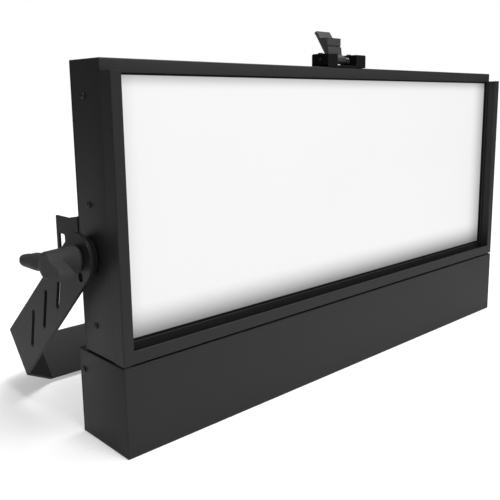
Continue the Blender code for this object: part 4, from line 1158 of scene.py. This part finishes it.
# Pivots and clamp knobs
def on_pivot(profile, start, way, steps):
    """A profile of (radius, distance from start), turned about the pivot's axis."""
    return turned(profile, (start, PIVOT.y, PIVOT.z), (way, 0, 0), steps)


def size_on_pivot(name):
    """A node's length along the pivot's axis, and its radius about it."""
    low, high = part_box(name)
    return high.x - low.x, (high.y - low.y) / 2


def make_pivots():
    for side, sign in SIDES.items():
        make_friction_disc(side, sign)
        make_washer(side, sign)


def make_friction_disc(side, sign):
    """A thick disc with a groove round the middle of its rim. Its very dark rubber is partly painted
    shade on the rim.
    """
    name = "friction_disc_" + side
    thick, radius = size_on_pivot(name)
    middle = thick / 2
    profile = [(STUD_HOLE, 0.0), (radius - DISC_EDGE, 0.0), (radius, DISC_EDGE)]
    profile += [(radius, middle - DISC_GROOVE), (radius - DISC_GROOVE, middle)]
    profile += [(radius, middle + DISC_GROOVE), (radius, thick - DISC_EDGE)]
    profile += [(radius - DISC_EDGE, thick), (STUD_HOLE, thick), (STUD_HOLE, 0.0)]
    shape = on_pivot(profile, ends(name, sign)[0], sign, 64)
    piece(side + "_brake_disc", shape, DISC_RUBBER_AND_SHADE, "head", "rubber", [name])


def make_washer(side, sign):
    name = "washer_" + side
    thick, radius = size_on_pivot(name)
    rim = radius - WASHER_EDGE
    profile = [(STUD_HOLE, 0.0), (rim, 0.0), (radius, WASHER_EDGE), (radius, thick - WASHER_EDGE)]
    profile += [(rim, thick), (STUD_HOLE, thick), (STUD_HOLE, 0.0)]
    shape = on_pivot(profile, ends(name, sign)[0], sign, 64)
    piece(side + "_plain_washer", shape, BLACK_OXIDE, name, "zinc_steel", [name])


def lofted(sections):
    """Closed rings of points, joined one to the next and closed at both ends."""
    shape = bmesh.new()
    rings = []
    for section in sections:
        points = [shape.verts.new(point) for point in section]
        rings.append([shape.edges.new(pair) for pair in zip(points, points[1:] + points[:1])])
    for first, second in zip(rings, rings[1:]):
        bmesh.ops.bridge_loops(shape, edges=first + second)
    for ring in (rings[0], rings[-1]):
        bmesh.ops.edgeloop_fill(shape, edges=ring)
    return shape


def make_knobs():
    for side, sign in SIDES.items():
        name = "knob_" + side
        foot = ends(name, sign)[0]
        shape = joined(knob_hub(foot, sign), knob_bar(foot, sign))
        finish = (KNOB_PLASTIC, name, "knob_plastic")
        piece(side + "_clamp_knob", shape, *finish, [name], KNOB_CREASE)
        make_threaded_stud(side, sign, name)


def knob_hub(foot, sign):
    """The tapered hub, bored from its foot."""
    wide, narrow = KNOB_FOOT_RADIUS, KNOB_TOP_RADIUS
    profile = [(0.0, KNOB_BORE_DEPTH), (STUD_HOLE, KNOB_BORE_DEPTH), (STUD_HOLE, 0.0)]
    profile += [(wide - KNOB_FOOT_EDGE, 0.0), (wide, KNOB_FOOT_EDGE)]
    profile += [(narrow, KNOB_HEIGHT - KNOB_TOP_EDGE), (narrow - KNOB_TOP_EDGE, KNOB_HEIGHT)]
    profile += [(0.0, KNOB_HEIGHT)]
    return on_pivot(profile, foot, sign, 64)


def knob_bar(foot, sign):
    """The bar, whose long finger is round and whose short wing is flat on top and leans."""
    sections = []
    for back, bottom, top, inset, radius in KNOB_STATIONS:
        near = foot + sign * (KNOB_BAR[0] + inset * MM)
        far = foot + sign * (KNOB_BAR[1] - inset * MM)
        twist = max(0.0, KNOB_WING - back) * KNOB_WING_TWIST * MM
        bottom, top = PIVOT.z + bottom * MM, PIVOT.z + top * MM
        twist = min(twist, (top - bottom) * KNOB_MOST_TWIST)
        corners = [(near, bottom), (far, bottom), (far, top), (near, top - twist)]
        outline = filleted(corners, radius * MM, 6)
        sections.append([(x, PIVOT.y + back * MM, z) for x, z in outline])
    return lofted(sections)


def make_threaded_stud(side, sign, body):
    """A stud whose thread is a row of ridges."""
    name = "knob_stud_" + side
    length = size_on_pivot(name)[0]
    root = STUD_RADIUS - THREAD_DEPTH
    profile = [(0.0, 0.0), (root, 0.0)]
    for number in range(int(length / THREAD_PITCH - 1)):
        start = (number + 0.5) * THREAD_PITCH
        profile += [(root, start), (STUD_RADIUS, start + THREAD_PITCH / 2)]
    profile += [(root, length), (0.0, length)]
    shape = on_pivot(profile, ends(name, sign)[0], sign, 32)
    piece(side + "_thread", shape, ZINC, body, "zinc_steel", [name])


def make_pivot_inserts():
    """A clinch nut behind each side wall, with a collar, a waist and a chamfered bore."""
    for side, sign in SIDES.items():
        name = "pivot_insert_" + side
        length, radius = size_on_pivot(name)
        bore, waist, edge = STUD_HOLE, radius * NUT_WAIST, NUT_EDGE
        profile = [(bore, edge), (bore + edge, 0.0), (radius - edge, 0.0), (radius, edge)]
        profile += [(radius, length * NUT_COLLAR), (waist, length * NUT_SHOULDER)]
        profile += [(waist, length - edge), (waist - edge, length), (bore, length), (bore, edge)]
        shape = on_pivot(profile, ends(name, sign)[1], -sign, 48)
        piece(side + "_clinch_nut", shape, ZINC, "head", "zinc_steel", [name])


# Rear lugs
def make_lugs():
    """An angle of sheet on the rear cover, whose free leg has an upright slot."""
    for side, sign in SIDES.items():
        name = "rear_lug_" + side
        low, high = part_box(name)
        middle = (low.z + high.z) / 2
        edge = high.z - LUG_SHOULDER[0][1]
        upper = [(low.y + back, edge + rise) for back, rise in LUG_SHOULDER]
        upper += arc((high.y - LUG_CORNER, edge - LUG_CORNER), LUG_CORNER, 90, 0, 5)
        outline = upper + [(y, 2 * middle - z) for y, z in reversed(upper)]
        wide, tall = LUG_SLOT[0] / 2, LUG_SLOT[1] / 2
        slot_depth = low.y + LUG_SLOT_BACK
        slot = rectangle(slot_depth - wide, middle - tall, slot_depth + wide, middle + tall)
        outlines = [outline, filleted(slot, LUG_SLOT_CORNER)]
        inner, outer = ends(name, sign)
        leg = crosswise(outlines, *sorted((outer - sign * LUG_SHEET, outer)), TRIM_EDGE)
        near, far = sorted((outer, inner))
        foot = slab((near, low.y, low.z), (far, low.y + LUG_SHEET, high.z))
        shape = joined(leg, soften(foot, TRIM_EDGE))
        piece(side + "_bond_lug", shape, POWDER_COAT, "head", "powder_coat", [name])


# Latch
def make_latch():
    """A plate with two ears, bored for the pin, and what is between the ears."""
    low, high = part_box("latch_base")
    pin = middle_of("latch_pin")
    plate = slab(low, (high.x, high.y, low.z + LATCH_PLATE))
    parts = [soften(plate, LATCH_PLATE_EDGE)]
    outline = filleted(rectangle(low.y, low.z, high.y, high.z), LATCH_EAR_CORNERS)
    bore = round_hole((pin.y, pin.z), PIN_RADIUS + GAP / 3, 24)
    left_ear, right_ear = low.x + LATCH_LEFT_EAR, high.x - LATCH_RIGHT_EAR
    for near, far in ((low.x, left_ear), (right_ear, high.x)):
        parts.append(crosswise([outline, bore], near, far, LATCH_EAR_EDGE))
    body = joined(*parts)
    piece("latch_body", body, LATCH_BASE_PLASTIC, "head", "knob_plastic", ["latch_base"])
    make_latch_pin(pin)
    make_latch_spring(pin, right_ear)
    make_lever(pin)


def make_latch_pin(pin):
    """A headless pin whose ends are rounded and stay just below the ears."""
    low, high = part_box("latch_pin")
    end = (high.x - low.x) / 2 - PIN_INSET
    profile = [(0.0, -end), (PIN_RADIUS - PIN_EDGE, -end), (PIN_RADIUS, PIN_EDGE - end)]
    profile += [(PIN_RADIUS, end - PIN_EDGE), (PIN_RADIUS - PIN_EDGE, end), (0.0, end)]
    shape = turned(profile, pin, (1, 0, 0), 32)
    piece("hinge_pin", shape, BLACK_OXIDE, "head", "zinc_steel", ["latch_pin"])


def make_latch_spring(pin, right_ear):
    """A torsion spring round the pin, between the lever and the right ear."""
    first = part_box("latch_lever")[1].x + GAP + SPRING_WIRE
    last = right_ear - GAP - SPRING_WIRE
    radius = PIN_RADIUS + GAP + SPRING_WIRE
    count = SPRING_TURNS * SPRING_STEPS
    points = []
    for step in range(count + 1):
        y, z = radius * spoke(360 * step / SPRING_STEPS - 90)
        x = first + (last - first) * step / count
        points.append(Vector((x, pin.y + y, pin.z + z)))
    tail = Vector((0, SPRING_TAIL, 0))
    shape = wire([points[0] - tail] + points + [points[-1] + tail], SPRING_WIRE)
    piece("coiled_spring", shape, SPRING_STEEL, "head", "zinc_steel", ["latch_spring"])


def make_lever(pin):
    """The thumb lever: a face with a step, a tab that leans back, and grip ribs behind it."""
    low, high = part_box("latch_lever")
    heel, tip = Vector(LEVER_HEEL) * MM, Vector(LEVER_TIP) * MM
    along = (tip - heel).normalized()
    inward = Vector((-along.y, along.x))
    length = (tip - heel).length
    first, last = LEVER_RIBBED
    pitch = (last - first) * length / LEVER_RIBS
    outline = arc((0, 0), LEVER_HUB, 180, 360, 12) + [heel]
    for number in range(LEVER_RIBS):
        start = heel + along * (first * length + number * pitch)
        for share, depth in LEVER_RIB:
            outline.append(start + along * pitch * share + inward * LEVER_RIB_DEPTH * depth)
    outline.append(tip)
    outline += [Vector(corner) * MM for corner in LEVER_TAB + LEVER_FACE]
    hole = round_hole((0, 0), PIN_RADIUS + GAP, 24)
    matrix = Matrix.Translation(((low.x + high.x) / 2, pin.y, pin.z)) @ ACROSS
    shape = stamped([outline, hole], high.x - low.x, LEVER_EDGE, matrix)
    piece("thumb_lever", shape, LATCH_PLASTIC, "latch_lever", "latch_plastic", ["latch_lever"])


# Control panel
def make_control_panel():
    """The base's rear sheet with its cut-outs, and a flange inside each end of the base."""
    low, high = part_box("control_panel")
    outlines = [filleted(face_outline(low, high), PANEL_CORNER)]
    for name in SOCKETS:
        middle = middle_of(name)
        outlines.append(round_hole((middle.x, middle.z), SOCKET_RADIUS + GAP, 48))
    for name in BUTTONS:
        middle = middle_of(name + "_button")
        outlines.append(round_hole((middle.x, middle.z), BUTTON_RADIUS + GAP))
    display = face_outline(*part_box("display_window"), -GAP)
    outlines.append(filleted(display, DISPLAY_CORNER))
    parts = [upright(outlines, high.y - SHEET, high.y, FINE_EDGE)]
    for sign in SIDES.values():
        outer = sign * (high.x - SHEET - GAP)
        near, far = sorted((outer, outer - sign * PANEL_FLANGE))
        bottom, top = low.z + FLANGE_ROOM, high.z - FLANGE_ROOM
        flange = slab((near, low.y, bottom), (far, high.y - SHEET, top))
        parts.append(soften(flange, TRIM_EDGE))
    shape = joined(*parts)
    piece("socket_panel", shape, POWDER_COAT, "head", "powder_coat", ["control_panel"])


def on_panel(name):
    """Where the middle of a node meets the control panel's outside."""
    middle = middle_of(name)
    return Vector((middle.x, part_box("control_panel")[1].y, middle.z))


def make_socket(name, finish, insides, contact_finish):
    """A chassis socket: a body behind the panel, and a collar and a bore with its contacts."""
    low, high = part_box(name)
    place = on_panel(name)
    mouth, behind = high.y - place.y, low.y - place.y
    floor = mouth - SOCKET_FLOOR
    collar = (high.x - low.x) / 2
    profile = [(0.0, floor), (SOCKET_BORE, floor), (SOCKET_BORE, mouth - SOCKET_LIP)]
    profile += [(SOCKET_BORE + SOCKET_LIP, mouth)]
    profile += [(collar - inset, mouth - drop) for inset, drop in COLLAR_ROUNDING]
    profile += [(collar, GAP), (SOCKET_RADIUS, GAP), (SOCKET_RADIUS, behind), (0.0, behind)]
    body = turned(profile, place, (0, 1, 0), 64)
    posts, contacts = insides(place, floor, mouth)
    piece(name + "_shell", joined(body, *posts), finish, "head", "knob_plastic", [name])
    piece(name + "_contacts", joined(*contacts), contact_finish, "head", "zinc_steel")


def off_middle(place, radius, turn):
    """A point in the panel's plane, at a distance and an angle from a place."""
    x, z = radius * spoke(turn)
    return place + Vector((x, 0, z))


def block(size, bottom, top, edge, place, turn=0):
    """A softened block that stands out of the panel between two heights, turned by an angle."""
    wide, tall = size[0] / 2, size[1] / 2
    shape = soften(slab((-wide, bottom, -tall), (wide, top, tall)), edge)
    spin = Matrix.Rotation(math.radians(-turn), 4, "Y")
    bmesh.ops.transform(shape, matrix=Matrix.Translation(place) @ spin, verts=shape.verts)
    return shape


def power_insides(place, floor, mouth):
    """A round post with three blades set in it, and three keys on the bore's wall."""
    radius, edge = POWER_POST_RADIUS, POWER_POST_EDGE
    top = mouth - POWER_POST_DROP
    profile = [(0.0, top), (radius - edge, top), (radius, top - edge), (radius, floor), (0.0, floor)]
    posts = [turned(profile, place, (0, 1, 0), 48)]
    blades = []
    for turn in BLADE_TURNS:
        middle = off_middle(place, radius - BLADE_INSET, turn)
        blades.append(block(BLADE, floor, top + BLADE_PROUD, BLADE_EDGE, middle, turn))
    for turn in KEY_TURNS:
        middle = off_middle(place, SOCKET_BORE - KEY_SINK, turn)
        posts.append(block(KEY, floor, mouth - KEY_DROP, KEY_EDGE, middle, turn))
    return posts, blades


def pin_insides(place, floor, mouth):
    """Three round pins on the bore's floor, and a key at its top."""
    above = off_middle(place, SOCKET_BORE - DATA_KEY_SINK, 90)
    key = block(DATA_KEY, floor, mouth - KEY_DROP, KEY_EDGE, above)
    top = mouth - CONTACT_PIN_DROP
    profile = [(radius, top - drop) for radius, drop in CONTACT_PIN_TIP]
    profile += [(CONTACT_PIN_RADIUS, floor), (0.0, floor)]
    pins = []
    for turn in CONTACT_TURNS:
        middle = off_middle(place, CONTACT_CIRCLE, turn)
        pins.append(turned(profile, middle, (0, 1, 0), 20))
    return [key], pins


def hole_insides(place, floor, mouth):
    """A filled face with three round holes, each with a sleeve in it, and a release catch."""
    top = mouth - FACE_DROP
    inner, outer = SLEEVE
    end = top - SLEEVE_DROP
    profile = [(inner, floor), (outer, floor), (outer, end), (inner, end), (inner, floor)]
    outlines = [round_hole((0, 0), SOCKET_BORE - FACE_ROOM, 48)]
    sleeves = []
    for turn in CONTACT_TURNS:
        outlines.append(round_hole(CONTACT_CIRCLE * spoke(turn), CONTACT_HOLE_RADIUS, 20))
        middle = off_middle(place, CONTACT_CIRCLE, turn)
        sleeves.append(turned(profile, middle, (0, 1, 0), 20))
    matrix = Matrix.Translation(place + Vector((0, (floor + top) / 2, 0))) @ UPRIGHT
    face = stamped(outlines, top - floor, TRIM_EDGE, matrix)
    above = off_middle(place, SOCKET_BORE + CATCH_RISE, 90)
    catch = block(CATCH, mouth - CATCH_DEPTH, mouth, TRIM_EDGE, above)
    return [face, catch], sleeves


def make_sockets():
    make_socket("power_inlet", INLET_PLASTIC, power_insides, ZINC)
    make_socket("power_outlet", OUTLET_PLASTIC, power_insides, ZINC)
    make_socket("dmx_in", CONNECTOR_PLASTIC, pin_insides, BRASS)
    make_socket("dmx_out", CONNECTOR_PLASTIC, hole_insides, BRASS)


def make_display():
    """The clear window, and a slim frame moulded round its glass."""
    low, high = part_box("display_window")
    inset = Vector((DISPLAY_FRAME, 0, DISPLAY_FRAME))
    pane = slab(low + inset, high - inset - Vector((0, DISPLAY_SINK, 0)))
    soften(pane, PANE_EDGE)
    piece("display_pane", pane, DISPLAY, "head", "display_glass", ["display_window"])
    outer = filleted(face_outline(low, high), DISPLAY_CORNER)
    inner = filleted(face_outline(low, high, DISPLAY_FRAME), DISPLAY_INNER_CORNER)
    shape = upright([outer, inner], low.y, high.y, TRIM_EDGE)
    piece("display_frame", shape, CONNECTOR_PLASTIC, "head", "display_glass")


def bars_icon():
    return [
        rectangle(-ICON_HALF, height - ICON_BAR_HALF, ICON_HALF, height + ICON_BAR_HALF)
        for height in ICON_BAR_HEIGHTS
    ]


def triangle_icon(way):
    foot, peak = ICON_FOOT * way, ICON_PEAK * way
    return [[(-ICON_HALF, foot), (ICON_HALF, foot), (0.0, peak)][::way]]


def ring_icon():
    return [round_hole((0, 0), ICON_HALF), round_hole((0, 0), ICON_RING_BORE)]


def make_buttons():
    """Domed caps, each with a raised icon: bars for the menu, down, up, and a ring for enter."""
    icons = (bars_icon(), triangle_icon(-1), triangle_icon(1), ring_icon())
    for name, outlines in zip(BUTTONS, icons):
        node = name + "_button"
        low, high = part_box(node)
        place = on_panel(node)
        flange = (high.x - low.x) / 2
        under_sheet, behind = -SHEET - GAP, low.y - place.y
        profile = [(radius * MM, BUTTON_PROUD - drop * MM) for radius, drop in BUTTON_DOME]
        profile += [(BUTTON_RADIUS, under_sheet), (flange, under_sheet)]
        profile += [(flange, behind), (0.0, behind)]
        cap = turned(profile, place, (0, 1, 0), 48)
        piece(name + "_cap", cap, BUTTON_RUBBER, node, "rubber", [node])
        lines = [[(-x * MM, y * MM) for x, y in outline] for outline in outlines]
        matrix = Matrix.Translation(place + Vector((0, BUTTON_PROUD + ICON_SHOW, 0))) @ UPRIGHT
        icon = stamped(lines, ICON_THICKNESS, ICON_EDGE, matrix)
        piece(name + "_icon", icon, ICON_PAINT, node, "rubber")


def give_node_finishes():
    """Gives its finish to each node that no piece replaces."""
    for name, finish in NODE_FINISHES.items():
        for slot in frame["nodes"][name].material_slots:
            slot.material = finish


# Stage
def make_camera():
    data = bpy.data.cameras.new("camera")
    data.lens = CAMERA_LENS
    data.sensor_width = SENSOR_WIDTH
    data.sensor_fit = "HORIZONTAL"
    data.shift_x, data.shift_y = CAMERA_SHIFT
    data.clip_start, data.clip_end = CLIPPING
    camera = linked("camera", data)
    turn = (
        Matrix.Rotation(math.radians(CAMERA_AZIMUTH), 4, "Z")
        @ Matrix.Rotation(math.radians(90 - CAMERA_DROP), 4, "X")
        @ Matrix.Rotation(math.radians(CAMERA_ROLL), 4, "Z")
    )
    camera.matrix_world = Matrix.Translation(CAMERA_PLACE) @ turn
    bpy.context.scene.camera = camera


def backdrop(nodes, strength, color=WHITE):
    return nodes.node("ShaderNodeBackground", {}, {"Color": color, "Strength": strength})


def gloss_surround(nodes):
    """What gloss sees: a dim grey surround, darker towards the ceiling."""
    direction = nodes.node("ShaderNodeTexCoord", {}, {}, "Generated")
    height = nodes.node("ShaderNodeSeparateXYZ", {}, {"Vector": direction}, "Z")
    return backdrop(nodes, height.step(*CEILING_FADE), GLOSS_GREY)


def make_world():
    """Dim light from all round. The camera and glass see white, and gloss its own surround."""
    world = bpy.data.worlds.new("studio")
    bpy.context.scene.world = world
    world.use_nodes = True
    nodes = Nodes(world.node_tree)
    sees_white = nodes.ray("Camera").most(nodes.ray("Glossy")).most(nodes.ray("Transmission"))
    seen = nodes.mix(sees_white, backdrop(nodes, SKY_LIGHT), backdrop(nodes, 1.0))
    nodes.show(nodes.mix(nodes.ray("Glossy"), seen, gloss_surround(nodes)))


def make_floor():
    """A matt floor. The camera sees it glow more with distance, so it runs on into the white."""
    shape = bmesh.new()
    bmesh.ops.create_grid(shape, x_segments=1, y_segments=1, size=FLOOR_SIZE)
    floor = linked("studio_floor", mesh_of(shape, "studio_floor"))
    made = Finish("studio_floor", FLOOR_COLOR, 0.9, Specular_IOR_Level=0.1)
    distance = made.node("ShaderNodeVectorMath", {"operation": "LENGTH"}, {0: made.place}, "Value")
    glow = made.node("ShaderNodeEmission", {}, {"Strength": distance.step(*FLOOR_GLOW)})
    dark = made.node("ShaderNodeEmission", {}, {"Strength": 0.0})
    seen = made.mix(made.ray("Camera"), dark, glow)
    matt = Value(made, made.shader.outputs[0])
    made.show(made.node("ShaderNodeAddShader", {}, {0: matt, 1: seen}))
    floor.data.materials.append(made.material)


def make_lamp(name, place, toward, size, power):
    data = bpy.data.lights.new(name, "AREA")
    data.shape = "RECTANGLE"
    data.size, data.size_y = size
    data.energy = power
    aim = (Vector(toward) - Vector(place)).to_track_quat("-Z", "Y").to_matrix().to_4x4()
    linked(name, data).matrix_world = Matrix.Translation(place) @ aim


def main():
    make_camera()
    give_node_finishes()
    make_head_shell()
    make_base_shell()
    make_window_ring()
    make_diffuser()
    make_rear_cover()
    make_side_rails()
    make_bottom_rail()
    make_yoke()
    make_pivots()
    make_pivot_inserts()
    make_knobs()
    make_lugs()
    make_latch()
    make_control_panel()
    make_sockets()
    make_display()
    make_buttons()
    screw_pieces()
    make_world()
    make_floor()
    for lamp in LAMPS:
        make_lamp(*lamp)
    bpy.context.scene.view_settings.view_transform = "Standard"


main()
